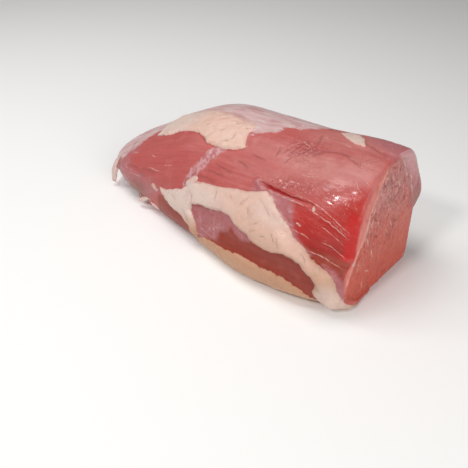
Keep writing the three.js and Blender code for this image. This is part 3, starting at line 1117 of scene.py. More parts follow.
@dataclass
class MeatMaterial:
    """The joint's surface: lean, cut face, membranes, silverskin and fat in one material."""

    finish: MeatFinish = field(default_factory=MeatFinish)
    tree: NodeTree = field(default_factory=lambda: NodeTree("raw_beef_surface"))
    place: Value = field(init=False)
    grain: Value = field(init=False)
    masks: dict[str, Value] = field(init=False)

    def __post_init__(self) -> None:
        """Lays out the coordinates and the masks that the tissues share."""
        self.place = self.tree.add("TexCoord", {}, "Object")
        self.grain = self._wandering(self.tree.add("UVMap", {}, "UV", uv_map="grain"))
        self.masks = self._masks()

    def build(self) -> bpy.types.Material:
        """The finished material."""
        tree, finish, masks = self.tree, self.finish, self.masks
        lean, cut, fat = self._lean(), self._cut(), self._fat()
        skins = self._skins(tree.mix(masks["cut"], lean.colour, cut.colour))
        sinew_and_glint, crack = self._line("sinew_and_glint", finish.sinew_and_glint_width), self._line("crack", finish.crack_width)
        colour = tree.over(
            skins.colour,
            (masks["fat"], fat.colour),
            # Pale sinew lines; along the fresh muscle's ridges and at the tip they are painted glints.
            (sinew_and_glint * tree.blend(masks["cut"], 0.6, 0.95), finish.sinew_and_glint),
            # Thin dark lines along the creases and nicks: painted shade in them, browner on the fat.
            (crack * tree.blend(masks["fat"], 0.4, 0.75), tree.mix(masks["fat"], finish.crack, finish.nick_shade)),
            # the muscle seam, painted near black-red as the shade deep inside it
            (masks["seam"], finish.groove),
        )
        height = tree.blend(masks["cut"], lean.height, cut.height)
        height = tree.blend(masks["skin"], height, skins.height)
        height = tree.blend(masks["fat"], height, fat.height) + sinew_and_glint * 0.2 - crack * 0.18
        roughness = finish.lean_roughness
        for name, tissue_roughness in finish.roughness:
            roughness = tree.blend(masks[name], roughness, tissue_roughness)
        bare = 1.0 - masks["fat"].most(masks["seam"])
        return tree.surfaced({
            "Base Color": colour,
            "Roughness": roughness,
            "Normal": tree.add("Bump", {"Distance": MM, "Height": height}, "Normal"),
            "IOR": finish.refraction,
            "Subsurface Weight": finish.subsurface,
            "Subsurface Radius": finish.subsurface_tint,
            "Subsurface Scale": finish.subsurface_depth * MM,
            "Coat Weight": tree.blend(masks["wet"] * bare, *finish.wet_coat),
            "Coat Roughness": finish.wet_roughness,
        })

    def _wandering(self, grain: Value) -> Value:
        """The grain's map with its lines made to wander a little from side to side.

        Args:
            grain: Coordinates along and round the joint.

        Returns:
            The moved coordinates.
        """
        drift = (self.tree.noise(grain, (34.0, 16.0, 1.0), 1.0) - 0.5) * (self.finish.wander * MM)
        move = self.tree.add("CombineXYZ", {"Y": drift})
        return self.tree.add("VectorMath", {0: grain, 1: move}, operation="ADD")

    def _line(self, name: str, width: float) -> Value:
        """A thin broken line on the skin, from its kept side and strength.

        Args:
            name: The kind of line.
            width: Half its width in millimetres.

        Returns:
            1 on the line and 0 away from it.
        """
        tree = self.tree
        off = abs(tree.attribute(name + "_side") + tree.noise(self.place, 4.0) - 0.5)
        broken = tree.noise(self.place, 2.6).step(0.40, 0.54, start=0.25)
        return off.step(width, width * 0.3) * tree.attribute(name) * broken

    def _masks(self) -> dict[str, Value]:
        """Where each tissue shows, from 0 to 1, with ragged edges."""
        tree = self.tree
        fine = tree.noise(self.place, 2.4, 4.0, 0.6) - 0.5
        wide = tree.noise(self.place, 7.0) - 0.5
        streaky = tree.noise(self.grain, (16.0, 2.2, 1.0), 3.0, 0.55) - 0.5
        height = tree.add("SeparateXYZ", {0: self.place}, "Z")
        masks = {name: tree.attribute(name) for name in (*BLUSHES, "hollow_shade")}
        for name, (start, full) in LEVELS.items():
            masks[name] = height.step(start * MM, full * MM)
        for name, edge in EDGES.items():
            depth = tree.attribute(name.removesuffix("_thick"))
            for tear, reach in ((fine, edge.fine), (wide, edge.wide), (streaky, edge.streaky)):
                if reach:
                    depth = depth + tear * reach
            if name == "fat":
                depth = depth / tree.attribute("fat_soft")
            masks[name] = depth.step(-edge.blend, edge.blend)
        # A painted highlight along the cut face's edge.
        masks["rim_line"] = abs(tree.attribute("rim") - 1.4 + fine * 3.0).step(1.4, 0.3)
        masks["seam"] = tree.attribute("seam") * abs(tree.attribute("seam_side") + fine * 0.8).step(1.1, 0.6)
        masks["fresh_low"] = masks["fresh_low"] * masks["fresh"]
        masks["film"] = masks["membrane"].most(masks["band"]).most(masks["veil"])
        masks["skin"] = masks["film"].most(masks["silverskin"])
        return masks

    def _toned(self, first: Tone, **tones: Tone) -> tuple[Value, Value, Value]:
        """Blends several tones, each by the mask of its name.

        Args:
            first: The tone where no mask applies.
            tones: The tone that each mask brings.

        Returns:
            The plain, deep and pale colours.
        """
        def blended(part: str) -> Value:
            """One of the three colours."""
            coats = ((self.masks[mask], getattr(tone, part)) for mask, tone in tones.items())
            return self.tree.over(getattr(first, part), *coats)

        return blended("plain"), blended("deep"), blended("pale")

    def _lean(self) -> Surface:
        """Lean muscle: long fibres, darker and paler bundles, and small dots and dashes."""
        tree, finish, masks, place, grain = self.tree, self.finish, self.masks, self.place, self.grain
        # The lower lean's tone holds painted shade, the fresh muscle is painted darker towards the floor as
        # shade, and the top's tone is partly painted sheen.
        plain, deep, pale = self._toned(
            finish.lean, haze=finish.bloom_and_sheen_lean, fresh=finish.fresh, fresh_low=finish.fresh_low,
            red_edge=finish.red_edge, lower=finish.lower)
        fibres = tree.noise(grain, finish.fibre_size, 4.0, 0.6)
        bundles = tree.noise(grain, finish.bundle_size, 3.0, 0.55)
        mottle = tree.noise(place, 15.0, 4.0, 0.6)
        beads = tree.noise(grain, (2.8, 1.0, 1.0), 3.0, 0.6)
        clear = tree.noise(place, 22.0).step(0.38, 0.62, start=0.3)
        dots = tree.cells(grain, (3.0, 1.4, 1.0))
        dashes = tree.cells(grain, (10.0, 2.6, 1.0))
        # Painted glints: pale specks that stand in for the sparkle of wet fibres, where the surface crackles,
        # is wet or has its sheen.
        painted_glints = tree.noise(grain, (3.2, 1.1, 1.0), 2.0, 0.6).step(0.60, 0.66) * mottle.step(0.45, 0.55)
        glint_places = masks["crackle"].most(masks["wet"]).most(masks["haze"] * 0.5)
        cracks = masks["crackle"] * tree.net(place, 4.6, 0.035)
        # Pale lines on the fresh muscle: raised fibre ridges in the bump, with glints painted on them.
        ridge_glints = masks["ridge_glinting"] * tree.noise(grain, (12.0, 1.3, 1.0), 3.0, 0.6).step(0.575, 0.65, 0.6)
        colour = tree.over(
            plain,
            (bundles.step(0.54, 0.34, 0.35), deep),
            (mottle.step(0.50, 0.75, 0.4), pale),
            (clear * fibres.step(0.46, 0.30, 0.35), deep),
            (clear * fibres.step(0.58, 0.74, 0.5), pale),
            (dots.step(0.18, 0.08, 0.35), pale),
            (dashes.step(0.14, 0.05, 0.5), deep),
            (cracks * 0.6, deep),
            (ridge_glints, pale),
            # painted glints
            (painted_glints * glint_places * 0.6, finish.sinew_and_glint),
            # painted shade in the creases and nicks
            (masks["hollow_shade"] * 0.35, deep),
        )
        height = bundles * 0.22 + fibres * 0.14 + tree.noise(place, 0.9) * 0.04
        height = height + beads * tree.blend(masks["wet"], 0.08, 0.46) - cracks * 0.2 + ridge_glints * 0.25
        return Surface(colour, height)

    def _cut(self) -> Surface:
        """The cut face: the ends of the fibre bundles, in short upright grain."""
        tree, finish, masks, size = self.tree, self.finish, self.masks, self.finish.cut_grain
        plain, deep, pale = self._toned(
            finish.cut, low=finish.cut_low, cut_top=finish.cut_top, rim=finish.rim)
        rough = masks["rim"].step(0.0, 1.0, end=0.25, start=1.0) * tree.blend(masks["low"], 1.0, 0.65)
        grain = tree.noise(self.place, (size, size * 0.8, size * 1.7), 4.0, 0.65, 0.3)
        folds = tree.noise(self.place, (size * 3, size * 1.8, size * 4), 3.0, 0.55, 0.4)
        broad = tree.noise(self.place, (20.0, 20.0, 26.0))
        splits = rough * tree.net(self.place, (7.0, 3.4, 8.0), 0.035) * broad.step(0.40, 0.58, start=0.35)
        colour = tree.over(
            plain,
            (rough * grain.step(0.50, 0.34, 0.8), deep),
            (rough * folds.step(0.44, 0.30, 0.4), deep),
            (rough * grain.step(0.54, 0.68, 0.85), pale),
            (broad.step(0.35, 0.7, 0.25), pale),
            # painted shade in the splits
            (splits * tree.blend(masks["cut_top"], 0.35, 0.55), deep),
            # painted highlight along the cut face's edge
            (masks["rim_line"] * 0.7, finish.rim.pale),
            # painted shade in the open splits
            (masks["hollow_shade"] * 0.5, deep),
        )
        height = (grain * 0.5 + folds * 0.8) * (rough + masks["cut_top"] * 0.8)
        return Surface(colour, height + splits * tree.blend(masks["cut_top"], -0.3, -0.9))

    def _skins(self, under: Value) -> Surface:
        """Membranes and silverskin, over the colour of the meat that shows through them.

        Args:
            under: The colour below.

        Returns:
            The colour and height.
        """
        tree, finish, masks = self.tree, self.finish, self.masks
        membrane, painted_shade = finish.membrane, finish.painted_shade
        film, veil, silverskin = masks["film"], masks["veil"], masks["silverskin"]
        streaks = tree.noise(self.grain, (20.0, 3.6, 1.0), 3.0, 0.55)
        mottled = tree.noise(self.grain, (26.0, 8.0, 1.0), 3.0, 0.6)
        wrinkles = tree.noise(self.place, 4.0, 4.0, 0.55, 0.6)
        veiled = veil * masks["veil_pale"] * 0.8
        banded = masks["band"] * wrinkles.step(0.42, 0.60, 0.8, 0.05)
        # Membranes are darkened with painted shade where they lie low, with no pale wrinkles there, and so is
        # the veil low down.
        unshaded = masks["painted_shade"].step(0.0, 1.0, end=0.2, start=1.0)
        colour = tree.over(
            under,
            (film * wrinkles.step(0.25, 0.60, 0.95, 0.6), tree.mix(masks["painted_shade"], membrane.plain, painted_shade)),
            (film * wrinkles.step(0.56, 0.74, 0.5) * unshaded, membrane.pale),
            (veil * masks["veil_painted_shade"] * 0.45, painted_shade),
            (veiled.most(banded), membrane.pale),
            (silverskin * streaks.step(0.26, 0.5, 0.95, 0.65), finish.silverskin),
            (silverskin * streaks.step(0.48, 0.72, 0.6), finish.silverskin_pale),
            (silverskin * mottled.step(0.52, 0.36, 0.5), membrane.plain),
            # painted shade in the creases
            (masks["hollow_shade"] * 0.3, membrane.deep),
        )
        return Surface(colour, streaks * 0.2 + wrinkles * 0.25)

    def _fat(self) -> Surface:
        """Fat: cream, pinker where it is thin, with small pits and nicks darkened by painted shade, and
        painted shade and warm bounce light low down.
        """
        tree, finish, masks = self.tree, self.finish, self.masks
        lumps = tree.noise(self.place, 9.0, 3.0, 0.55)
        grain = tree.noise(self.place, finish.fat_grain, 4.0, 0.6)
        nicks = tree.cells(self.place, 5.0).step(0.11, 0.05) * grain.step(0.45, 0.55)
        # Low down the fat gets painted shade and painted warm bounce light.
        plain, deep, pale = self._toned(finish.fat, low=finish.fat_shade_and_bounce, white_fat=finish.white_fat)
        colour = tree.over(
            plain,
            (masks["fat_thick"].step(0.2, 1.0, end=0.0, start=0.6), deep),
            (lumps.step(0.50, 0.28, 0.45), deep),
            (grain.step(0.50, 0.74, 0.5), pale),
            # painted shade in the small dents
            (nicks * 0.35, finish.nick_shade),
            # painted shade in the creases and nicks
            (masks["hollow_shade"] * 0.25, deep),
        )
        return Surface(colour, lumps * 0.7 + grain * 0.22 - nicks * 0.4)


# ---- The joint ------------------------------------------------------------------------------

RELIEF_SEED, FACE_SEED, PIT_SEED, TEAR_SEED = 11, 12, 13, 14


@dataclass
class MeatBlock:
    """The whole joint: one closed skin over its sections, sculpted and dressed. Lengths are in mm."""

    form: JointForm = field(default_factory=JointForm)
    counts: Counts = (45, 8, 22)
    nose_rings: int = 7
    body_rings: int = 57
    edge_rings: int = 4
    face_rings: int = 10
    levels: int = 2
    end_round: float = 40.0  # how far round the points at the two ends count as being
    base_round: float = 95.0  # how far round the middle of the base counts as being in the fibres' map
    resting: float = 0.05  # the skin rests on the floor below this height
    face_blend: Spot = (-0.5, 1.5)  # where the side gives way to the cut face
    face_relief_blend: Spot = (0.0, 3.0)
    off_face: float = 60.0  # how far outside the side's tissues the cut face is
    off_base: float = 40.0
    off_floor: float = 4.0  # how far outside the fat the skin on the floor is, at least
    fat_spread: float = 3.0  # how much wider its lip is where fat thins away
    fat_blur: float = 7.0  # and how much softer its edge is
    seam_widths: Spot = (0.45, 1.4)  # half its width where it is narrow and where it is wide
    seam_narrows: Spot = (188.0, 226.0)  # where along the joint it narrows
    film_rise: Spot = (0.3, 0.6)  # a membrane's rise, and how deep its wrinkles cut
    crease_depth: float = 0.14
    face_crease_depth: float = 0.8
    pit_depth: float = 0.5
    fibres: tuple[Swell, ...] = (Swell(0.14, (34.0, 3.4, 1.0)), Swell(0.09, (20.0, 1.9, 1.0)))
    lumps: tuple[Swell, ...] = (Swell(0.5, 12.0), Swell(0.32, 4.8))
    wrinkles: tuple[Swell, ...] = (Swell(1.0, 7.5), Swell(0.5, 3.6))
    fat_tears: tuple[Swell, ...] = (Swell(1.0, 4.5),)
    line_tears: tuple[Swell, ...] = (Swell(0.9, (5.0, 5.0, 1.0)), Swell(0.45, (2.4, 2.4, 1.0)))
    face_grain: tuple[Swell, ...] = (Swell(0.45, (9.0, 3.6, 13.0)), Swell(0.25, (5.0, 1.9, 6.0)))
    face_splits: tuple[Swell, ...] = (Swell(1.0, (30.0, 5.5, 17.0)), Swell(0.35, (6.0, 3.0, 6.0)))
    open_splits: tuple[Swell, ...] = (Swell(1.0, (30.0, 14.0, 12.0)),)

    def build(self) -> bpy.types.Object:
        """The finished joint."""
        obj = self._tube()
        self._set_on_sections(obj)
        self._subdivide(obj)
        self._sculpt(obj)
        self._lay_grain(obj)
        for name, values in self._marks(obj).items():
            store(obj, name, values)
        finished(obj, "joint", MeatMaterial().build())
        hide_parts(NODE)
        return obj

    @property
    def _rings(self) -> int:
        """How many rings the skin has."""
        return self.nose_rings + self.body_rings + self.edge_rings + self.face_rings

    @property
    def _origin(self) -> np.ndarray:
        """The part's origin, from the tip."""
        return np.array([*self.form.origin, 0.0])

    def _tube(self) -> bpy.types.Object:
        """A plain closed tube with one ring for each section and a point at each end."""
        around, step = sum(self.counts), LENGTH / self._rings * MM
        choose()
        bpy.ops.mesh.primitive_circle_add(
            vertices=around, radius=WIDTH / 2 * MM, rotation=(0.0, math.pi / 2, 0.0))
        obj = bpy.context.object
        bpy.ops.object.transform_apply(location=False, rotation=True, scale=False)
        with editing(obj):
            bpy.ops.mesh.select_all(action="SELECT")
            extrude((step, 0.0, 0.0), times=self._rings)
            bpy.ops.mesh.merge(type="CENTER")
        mesh = obj.data
        mesh.vertices.foreach_set("select", [i < around for i in range(len(mesh.vertices))])
        mesh.edges.foreach_set("select", [max(edge.vertices) < around for edge in mesh.edges])
        mesh.polygons.foreach_set("select", [False] * len(mesh.polygons))
        with editing(obj):
            extrude((-step, 0.0, 0.0))
            bpy.ops.mesh.merge(type="CENTER")
            face_outwards()
        return obj

    def _stations(self) -> Iterator[Triple]:
        """Each ring's place along the joint, its shrink and its swell, from the tip to the last."""
        form = self.form
        for angle in self._quarter(self.nose_rings):
            shrink = math.sqrt(1.0 - max(math.cos(angle), 0.0) ** form.nose_bluntness)
            yield form.nose_length * (1.0 - math.cos(angle)), shrink, 0.0
        body = LENGTH - form.edge_radius - form.nose_length
        for i in range(1, self.body_rings + 1):
            yield form.nose_length + body * i / self.body_rings, 1.0, 0.0
        edge_shrink = 1.0 - form.edge_radius / (WIDTH / 2)
        for angle in self._quarter(self.edge_rings):
            shrink = edge_shrink + (1.0 - edge_shrink) * math.cos(angle)
            yield LENGTH - form.edge_radius * (1.0 - math.sin(angle)), shrink, 0.0
        for i in range(self.face_rings, 0, -1):
            shrink = edge_shrink * i / (self.face_rings + 1)
            yield LENGTH, shrink, form.face_bulge * (1.0 - shrink**2)

    @staticmethod
    def _quarter(count: int) -> list[float]:
        """The angles of a quarter turn's steps, its end among them."""
        return [i / count * math.pi / 2 for i in range(1, count + 1)]

    def _set_on_sections(self, obj: bpy.types.Object) -> None:
        """Moves the plain tube's points on to the sections, and keeps where each one is.

        Args:
            obj: The plain tube.
        """
        stations = list(self._stations())
        made = [self.form.ring(*station, self.counts) for station in stations]
        rings, around = (np.array(part) for part in zip(*made))
        along = np.repeat([station[:1] for station in stations], around.shape[1], axis=1)
        face = slice(-self.face_rings, None)
        depth = along - LENGTH
        depth[face] = np.linalg.norm(rings[face] - rings[-self.face_rings - 1], axis=2)
        tip = rings[0].mean(axis=0) * (0.0, 1.0, 1.0)
        heart = rings[-1].mean(axis=0)
        order = self._match(obj, *around.shape)
        set_positions(obj, np.concatenate([rings.reshape(-1, 3), [tip, heart]])[order] * MM)
        base = np.tile(np.repeat([0.0, 1.0, 0.0], self.counts), len(rings))
        for name, values, ends in (
            ("along", along, (0.0, LENGTH)),
            ("around", around, (self.end_round, self.end_round)),
            ("cut", depth, (-LENGTH, depth[-1].max())),
            ("base", base, (0.0, 0.0)),
        ):
            store(obj, name, np.concatenate([values.ravel(), ends])[order])

    @staticmethod
    def _match(obj: bpy.types.Object, rings: int, around: int) -> np.ndarray:
        """Which section point each of the plain tube's points stands for.

        Args:
            obj: The plain tube.
            rings: How many rings it has.
            around: How many points a ring has.

        Returns:
            The section point's number for each point of the tube. The last two are the tip
            and the heart of the cut face.
        """
        points = positions(obj)
        start = np.median(points[:around, 0])
        ring = np.rint((points[:, 0] - start) / (LENGTH / rings * MM)).astype(int)
        turn = np.arctan2(points[:, 1], points[:, 2])
        step = np.rint(turn / (2 * math.pi) * around).astype(int) % around
        order = ring * around + (around - step) % around
        order[ring < 0] = rings * around
        order[ring >= rings] = rings * around + 1
        return order

    def _subdivide(self, obj: bpy.types.Object) -> None:
        """Rounds the coarse skin into a fine one.

        Args:
            obj: The coarse skin.
        """
        with editing(obj):
            face_outwards()
        modifier = obj.modifiers.new("smooth_skin", "SUBSURF")
        modifier.levels = modifier.render_levels = self.levels
        bpy.ops.object.modifier_apply(modifier=modifier.name)

    def _sculpt(self, obj: bpy.types.Object) -> None:
        """Gives the plain fine skin its fat, seams, creases and grain, and sets it on the part's origin.

        Args:
            obj: The plain fine skin.
        """
        points, spots, depth = positions(obj) / MM, skin_spots(obj), recall(obj, "cut")
        rise = self._relief(points, spots) * fade(*self.face_blend, depth) + self._cut_relief(points, depth)
        rise[points[:, 2] < self.resting] = 0.0
        points += read(obj.data.vertex_normals, "vector") * rise[:, None]
        for pull in PULLS:
            points += pull.moves(spots)
        points[:, 2] = np.maximum(points[:, 2], 0.0)
        set_positions(obj, (points - self._origin) * MM)

    def _relief(self, points: np.ndarray, spots: np.ndarray) -> np.ndarray:
        """How far each point stands out of the plain sections, away from the cut face.

        Args:
            points: The points in millimetres.
            spots: Where they are on the skin.

        Returns:
            One rise in millimetres for each point.
        """
        noise = Noise(RELIEF_SEED)
        along, around = spots.T
        swell = 0.7 * np.sin(along / 17 + around / 23) * np.cos(around / 19 - along / 41)
        lumps, tears = noise.rise(points, self.lumps), noise.rise(points, self.fat_tears)
        fat, cover = np.zeros(len(spots)), np.zeros(len(spots))
        for patch in FAT_PATCHES:
            spread = 1.0 + self.fat_spread * patch.softness(spots)
            layer = smooth(-0.8, patch.lip, depth_inside(spots, patch.outline) / spread + tears) ** 0.7
            fat = np.maximum(fat, patch.thickness * layer)
            cover = np.maximum(cover, layer)
        lean = noise.rise(self._flat(spots), self.fibres) + 0.3 * lumps
        rise = swell + fat + cover * lumps + (1.0 - cover) * lean
        film = smooth(-1.0, 4.0, self._film_depth(spots)) * (1.0 - cover)
        wrinkles = noise.rise(points, self.wrinkles, folded=True)
        rise += film * (self.film_rise[0] - self.film_rise[1] * wrinkles)
        bent = self._bent(spots)
        rise -= carved(bent, (*CREASES, *NICKS), self.crease_depth)
        rise += sum(stroke.relief(bent) for stroke in (*RIDGES, BAND, *FAT_FLECKS))
        return rise + MUSCLE_SEAM.relief(self._bent(spots, SEAM_TEAR))

    @staticmethod
    def _flat(spots: np.ndarray) -> np.ndarray:
        """The spots as points of a flat sheet."""
        return np.pad(spots, ((0, 0), (0, 1)))

    def _bent(self, spots: np.ndarray, share: float = 1.0) -> np.ndarray:
        """The spots moved a little this way and that, so that strokes on them look torn.

        Args:
            spots: The spots, one row each.
            share: How much of the full move they get.

        Returns:
            The moved spots.
        """
        noise = Noise(TEAR_SEED)
        moves = [noise.rise(self._flat(spots) + shift, self.line_tears) for shift in (0.0, 71.0)]
        return spots + share * np.stack(moves, axis=1)

    @staticmethod
    def _film_depth(spots: np.ndarray) -> np.ndarray:
        """How deep each spot is inside a membrane, negative outside them all."""
        return np.max([depth_inside(spots, film.outline) / film.softness for film in FILMS], axis=0)

    def _cut_relief(self, points: np.ndarray, depth: np.ndarray) -> np.ndarray:
        """How far each point of the cut face stands out of it.

        Args:
            points: The points in millimetres.
            depth: How deep inside the cut face each point is.

        Returns:
            One rise in millimetres for each point.
        """
        coarse = 0.8 + 0.8 * smooth(35.0, 75.0, points[:, 2]) * smooth(-15.0, 15.0, points[:, 1])
        rise = Noise(FACE_SEED).rise(points, self.face_grain) * coarse
        rise -= self.pit_depth * self._face_pits(points)
        rise -= carved(points[:, 1:], FACE_CREASES, self.face_crease_depth)
        return rise * smooth(*self.face_relief_blend, depth)

    def _face_pits(self, points: np.ndarray) -> np.ndarray:
        """Upright splits between the fibre bundles of the cut face, from 0 to 1.

        Args:
            points: The points in millimetres.

        Returns:
            How open a split is at each point.
        """
        noise = Noise(PIT_SEED)
        split = fade(0.0, 0.16, np.abs(noise.rise(points, self.face_splits)))
        return split * smooth(-0.05, 0.35, noise.rise(points, self.open_splits))

    def _lay_grain(self, obj: bpy.types.Object) -> None:
        """Lays a map over the sculpted skin, along and round the joint in metres, for its fibres.

        Args:
            obj: The sculpted skin.
        """
        spots = skin_spots(obj)
        along, around = spots.T
        fresh = smooth(40.0, 60.0, around) * fade(90.0, 106.0, around) * smooth(195.0, 265.0, along)
        spots[:, 1] -= 9.0 * fresh
        corners = np.empty(len(obj.data.loops), np.int32)
        obj.data.loops.foreach_get("vertex_index", corners)
        under = np.repeat(recall(obj, "base")[corners].reshape(-1, 4).mean(axis=1) > 0.4, 4)
        laid = spots[corners]
        laid[under, 1] = self.base_round - positions(obj)[corners[under], 1] / MM
        obj.data.uv_layers.new(name="grain").data.foreach_set("uv", (laid * MM).astype(np.float32).ravel())

    def _marks(self, obj: bpy.types.Object) -> dict[str, np.ndarray]:
        """How deep each point is inside each tissue, and how strongly each blush and line shows there.

        Args:
            obj: The sculpted skin.

        Returns:
            One number for each point under each name, for the material to colour.
        """
        spots, points = skin_spots(obj), positions(obj) / MM + self._origin
        depth, base = recall(obj, "cut"), recall(obj, "base")
        face, bent = points[:, 1:], self._bent(spots)
        on_face = smooth(*self.face_blend, depth)
        marks = {
            "fat": self._fat_depth(spots, bent, points[:, 2] < self.resting),
            "band": BAND.depth(bent),
            "red_edge": RED_EDGE.depth(spots),
            "membrane": self._film_depth(spots),
            **{name: depth_inside(spots, outline) for name, outline in REGIONS.items()},
        }
        marks = {name: inside - self.off_face * on_face for name, inside in marks.items()}
        for name in ("membrane", *REGIONS):
            marks[name] -= self.off_base * smooth(0.1, 0.9, base)
        softness = np.max([patch.softness(spots) for patch in FAT_PATCHES], axis=0)
        marks["fat_soft"] = 1.0 + self.fat_blur * softness
        for name, blushes in BLUSHES.items():
            marks[name] = (1.0 - on_face) * np.max([blush.share(spots) for blush in blushes], axis=0)
        # Painted shade in the creases and nicks, and in the open splits of the cut face.
        pits = np.max([fade(0.3, 2.0, path_distance(bent, path)) for path in (*CREASES, *NICKS)], axis=0)
        face_pits = self._face_pits(points) * smooth(*self.face_relief_blend, depth)
        marks["hollow_shade"] = np.where(depth > 0.0, face_pits, pits)
        for name, outline in FACE_REGIONS.items():
            marks[name] = np.where(depth > -1.5, depth_inside(face, outline), -self.off_face)
        side, strength = line_marks(self._bent(spots, SEAM_TEAR), (MUSCLE_SEAM.path,), 4.0)
        narrow, wide = self.seam_widths
        marks["seam_side"] = side / (narrow + (wide - narrow) * fade(*self.seam_narrows, spots[:, 0]))
        marks["seam"] = strength * (depth < -1.0)
        on_cut = depth > self.face_blend[0]
        for name, skin_lines, face_lines in (
            ("crack", (*CREASES, *NICKS), FACE_CREASES),
            ("sinew_and_glint", SINEWS_AND_GLINTS, FACE_THREADS),
        ):
            skin_side, skin_strength = line_marks(self._bent(spots, LINE_TEAR), skin_lines)
            face_side, face_strength = line_marks(face, face_lines)
            marks[name + "_side"] = np.where(on_cut, FACE_LINE_CLOSENESS * face_side, skin_side)
            strength = np.where(on_cut, face_strength, skin_strength * (depth < -1.5))
            marks[name] = strength * fade(0.0, 0.5, base)
        return marks

    def _fat_depth(self, spots: np.ndarray, bent: np.ndarray, beneath: np.ndarray) -> np.ndarray:
        """How deep each spot is inside the fat, which has none on the floor.

        Args:
            spots: The spots, one row each.
            bent: The same spots moved for torn edges.
            beneath: Whether each one rests on the floor.

        Returns:
            Millimetres inside the fat for each spot, negative outside it.
        """
        layers = np.max([depth_inside(spots, patch.outline) for patch in FAT_PATCHES], axis=0)
        flecks = np.max([fleck.depth(bent) for fleck in FAT_FLECKS], axis=0)
        return np.where(beneath, np.minimum(layers, 0.0) - self.off_floor, np.maximum(layers, flecks))


@dataclass(frozen=True)
class Scrap:
    """One scrap: where it leaves the skin, its corners from there, and its size, in millimetres."""

    root: Spot
    hang: tuple[Triple, ...]
    width: float
    thickness: float


SCRAPS = (
    Scrap(
        root=(22, 41), width=8.5, thickness=1.8,
        hang=((4.0, 2.0, 2.5), (-1.6, -2.0, -5.0), (-4.8, -4.5, -14.0), (-5.0, -6.5, -24.5))),
    Scrap(
        root=(67, 92), width=4.2, thickness=1.3,
        hang=((3.0, 1.5, 1.0), (-2.0, -1.6, -1.6), (-8.4, -3.5, -4.2))),
    Scrap(
        root=(67, 92), width=3.4, thickness=1.4,
        hang=((3.0, 0.0, 1.0), (9.0, -1.2, -1.6), (16.0, -1.0, -3.4))),
)


@dataclass
class HangingScraps:
    """The scraps at the tip and along its lower edge: flattened tubes that taper at both ends."""

    joint: bpy.types.Object
    sides: int = 6
    steps: int = 9
    facing: Triple = (0.1, -0.7, 0.7)  # the way their flat side faces
    blunt: float = 0.3  # the width left at their ends, as a share
    taper_ends: Spot = (0.06, 0.94)
    taper_power: float = 0.6
    neighbours: int = 4  # how many points of the skin place a root
    evening: float = 0.05  # keeps the share of the nearest point finite
    off_cut: float = 0.5  # points have to be this far outside the cut face

    def build(self) -> bpy.types.Object:
        """The finished piece, with all the scraps as one object."""
        tubes = [self._plain_tube()]
        for _ in SCRAPS[1:]:
            choose(tubes[0])
            bpy.ops.object.duplicate(linked=False)
            tubes.append(bpy.context.object)
        for tube, scrap in zip(tubes, SCRAPS):
            set_positions(tube, self._rings(scrap))
        choose(*tubes)
        bpy.ops.object.join()
        with editing(tubes[0]):
            face_outwards()
        return finished(tubes[0], "hanging_scraps", ScrapFinish().build())

    def _plain_tube(self) -> bpy.types.Object:
        """A closed tube with one ring for each step."""
        choose()
        bpy.ops.mesh.primitive_circle_add(vertices=self.sides, radius=MM, fill_type="NGON")
        tube = bpy.context.object
        with editing(tube):
            bpy.ops.mesh.select_all(action="SELECT")
            extrude((0.0, 0.0, MM), times=self.steps)
        return tube

    def _on_skin(self, spot: Spot) -> np.ndarray:
        """The place in metres at a spot on the joint's side, among its nearest points.

        Args:
            spot: Millimetres along from the tip and round from the crown.

        Returns:
            The place's x, y and z.
        """
        away = np.linalg.norm(skin_spots(self.joint) - spot, axis=1)
        away[recall(self.joint, "cut") > -self.off_cut] = np.inf
        near = np.argpartition(away, self.neighbours)[:self.neighbours]
        share = 1.0 / (away[near] + self.evening)
        return share / share.sum() @ positions(self.joint)[near]

    def _rings(self, scrap: Scrap) -> np.ndarray:
        """A scrap's points, ring by ring, in metres.

        Args:
            scrap: The scrap.

        Returns:
            One row for each point.
        """
        path = self._on_skin(scrap.root) + np.array(scrap.hang) * MM
        reach = np.concatenate([[0.0], np.cumsum(np.linalg.norm(np.diff(path, axis=0), axis=1))])
        share = np.linspace(0.0, 1.0, self.steps + 1)
        spine = np.stack([np.interp(share * reach[-1], reach, path[:, axis]) for axis in range(3)], axis=1)
        ahead = np.gradient(spine, axis=0)
        ahead /= np.linalg.norm(ahead, axis=1)[:, None]
        across = np.cross(ahead, self.facing)
        across /= np.linalg.norm(across, axis=1)[:, None]
        up = np.cross(across, ahead)
        swell = np.sin(np.pi * np.clip(share, *self.taper_ends)) ** self.taper_power
        taper = self.blunt + (1.0 - self.blunt) * swell
        turn = np.arange(self.sides) / self.sides * 2.0 * np.pi
        sideways = np.outer(taper, np.cos(turn))[..., None] * across[:, None] * scrap.width
        upwards = np.outer(taper, np.sin(turn))[..., None] * up[:, None] * scrap.thickness
        return (spine[:, None] + (sideways + upwards) / 2 * MM).reshape(-1, 3)


# ---- Studio ---------------------------------------------------------------------------------


@dataclass(frozen=True)
class Lamp:
    """A square soft light that faces the joint. Its place and side are in metres, its power in watts."""

    name: str
    at: Triple
    side: float
    power: float
    colour: Colour


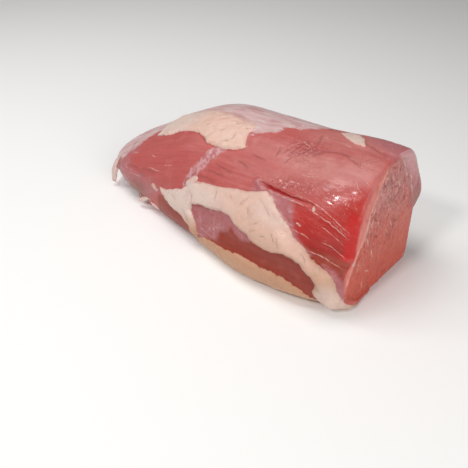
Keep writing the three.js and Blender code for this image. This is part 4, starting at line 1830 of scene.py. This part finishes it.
@dataclass
class Studio:
    """A pale floor, soft lights and the camera."""

    camera_at: Triple = (258.5, -282.7, 284.9)  # millimetres, from the origin
    azimuth: float = 43.4
    elevation: float = 38.7
    lens: float = 42.92
    floor_size: float = 6.0
    floor_colour: Colour = (0.93, 0.93, 0.93)
    floor_roughness: float = 0.7
    surround: float = 0.15
    lamps: tuple[Lamp, ...] = (
        Lamp("overhead", (-0.28, -0.10, 0.95), side=0.5, power=4.75, colour=(1.0, 0.985, 0.96)),
        Lamp("window", (0.0, -0.66, 0.75), side=0.11, power=2.5, colour=(1.0, 0.99, 0.98)),
        Lamp("side_window", (-0.70, -0.33, 0.63), side=0.15, power=0.85, colour=(1.0, 0.99, 0.98)),
        Lamp("side_fill", (0.9, -0.25, 0.45), side=0.7, power=4.65, colour=(1.0, 0.98, 0.95)),
    )

    def build(self) -> None:
        """Builds the studio."""
        self._floor()
        self._world()
        for lamp in self.lamps:
            self._light(lamp)
        self._camera()
        bpy.context.scene.view_settings.view_transform = "Standard"

    def _floor(self) -> None:
        """A wide plain floor with its top at the joint's base."""
        choose()
        bpy.ops.mesh.primitive_plane_add(size=self.floor_size)
        floor = bpy.context.object
        floor.name = "floor"
        finish = {"Base Color": self.floor_colour, "Roughness": self.floor_roughness}
        floor.data.materials.append(NodeTree("floor").surfaced(finish))

    def _world(self) -> None:
        """An even pale surround."""
        world = bpy.data.worlds.new("surround")
        world.use_nodes = True
        background = world.node_tree.nodes["Background"]
        background.inputs["Color"].default_value = (1.0, 1.0, 1.0, 1.0)
        background.inputs["Strength"].default_value = self.surround
        bpy.context.scene.world = world

    @staticmethod
    def _aim(name: str, data: bpy.types.ID, at: Vector, back: Vector) -> bpy.types.Object:
        """Puts a light or a camera in its place, turned away from a direction.

        Args:
            name: Its name.
            data: The light or the camera.
            at: Its place in metres.
            back: The direction behind it.

        Returns:
            The new object.
        """
        obj = bpy.data.objects.new(name, data)
        bpy.context.scene.collection.objects.link(obj)
        obj.location = at
        obj.rotation_euler = (-back).to_track_quat("-Z", "Y").to_euler()
        return obj

    def _light(self, lamp: Lamp) -> None:
        """One lamp's light.

        Args:
            lamp: The lamp.
        """
        data = bpy.data.lights.new(lamp.name, "AREA")
        data.size, data.energy, data.color = lamp.side, lamp.power, lamp.colour
        self._aim(lamp.name, data, Vector(lamp.at), Vector(lamp.at))

    def _camera(self) -> None:
        """The camera, level and looking down on the joint."""
        data = bpy.data.cameras.new("camera")
        data.lens = self.lens
        azimuth, elevation = math.radians(self.azimuth), math.radians(self.elevation)
        level = math.cos(elevation)
        back = Vector((math.sin(azimuth) * level, -math.cos(azimuth) * level, math.sin(elevation)))
        bpy.context.scene.camera = self._aim("camera", data, Vector(self.camera_at) * MM, back)


def main() -> None:
    """Builds the joint and the studio, and reports each piece."""
    logging.basicConfig(level=logging.INFO, format="%(name)s: %(message)s")
    joint = MeatBlock().build()
    for piece in (joint, HangingScraps(joint).build()):
        log.info("%s has %d points", piece.name, len(piece.data.vertices))
    Studio().build()


if __name__ == "__main__":
    main()
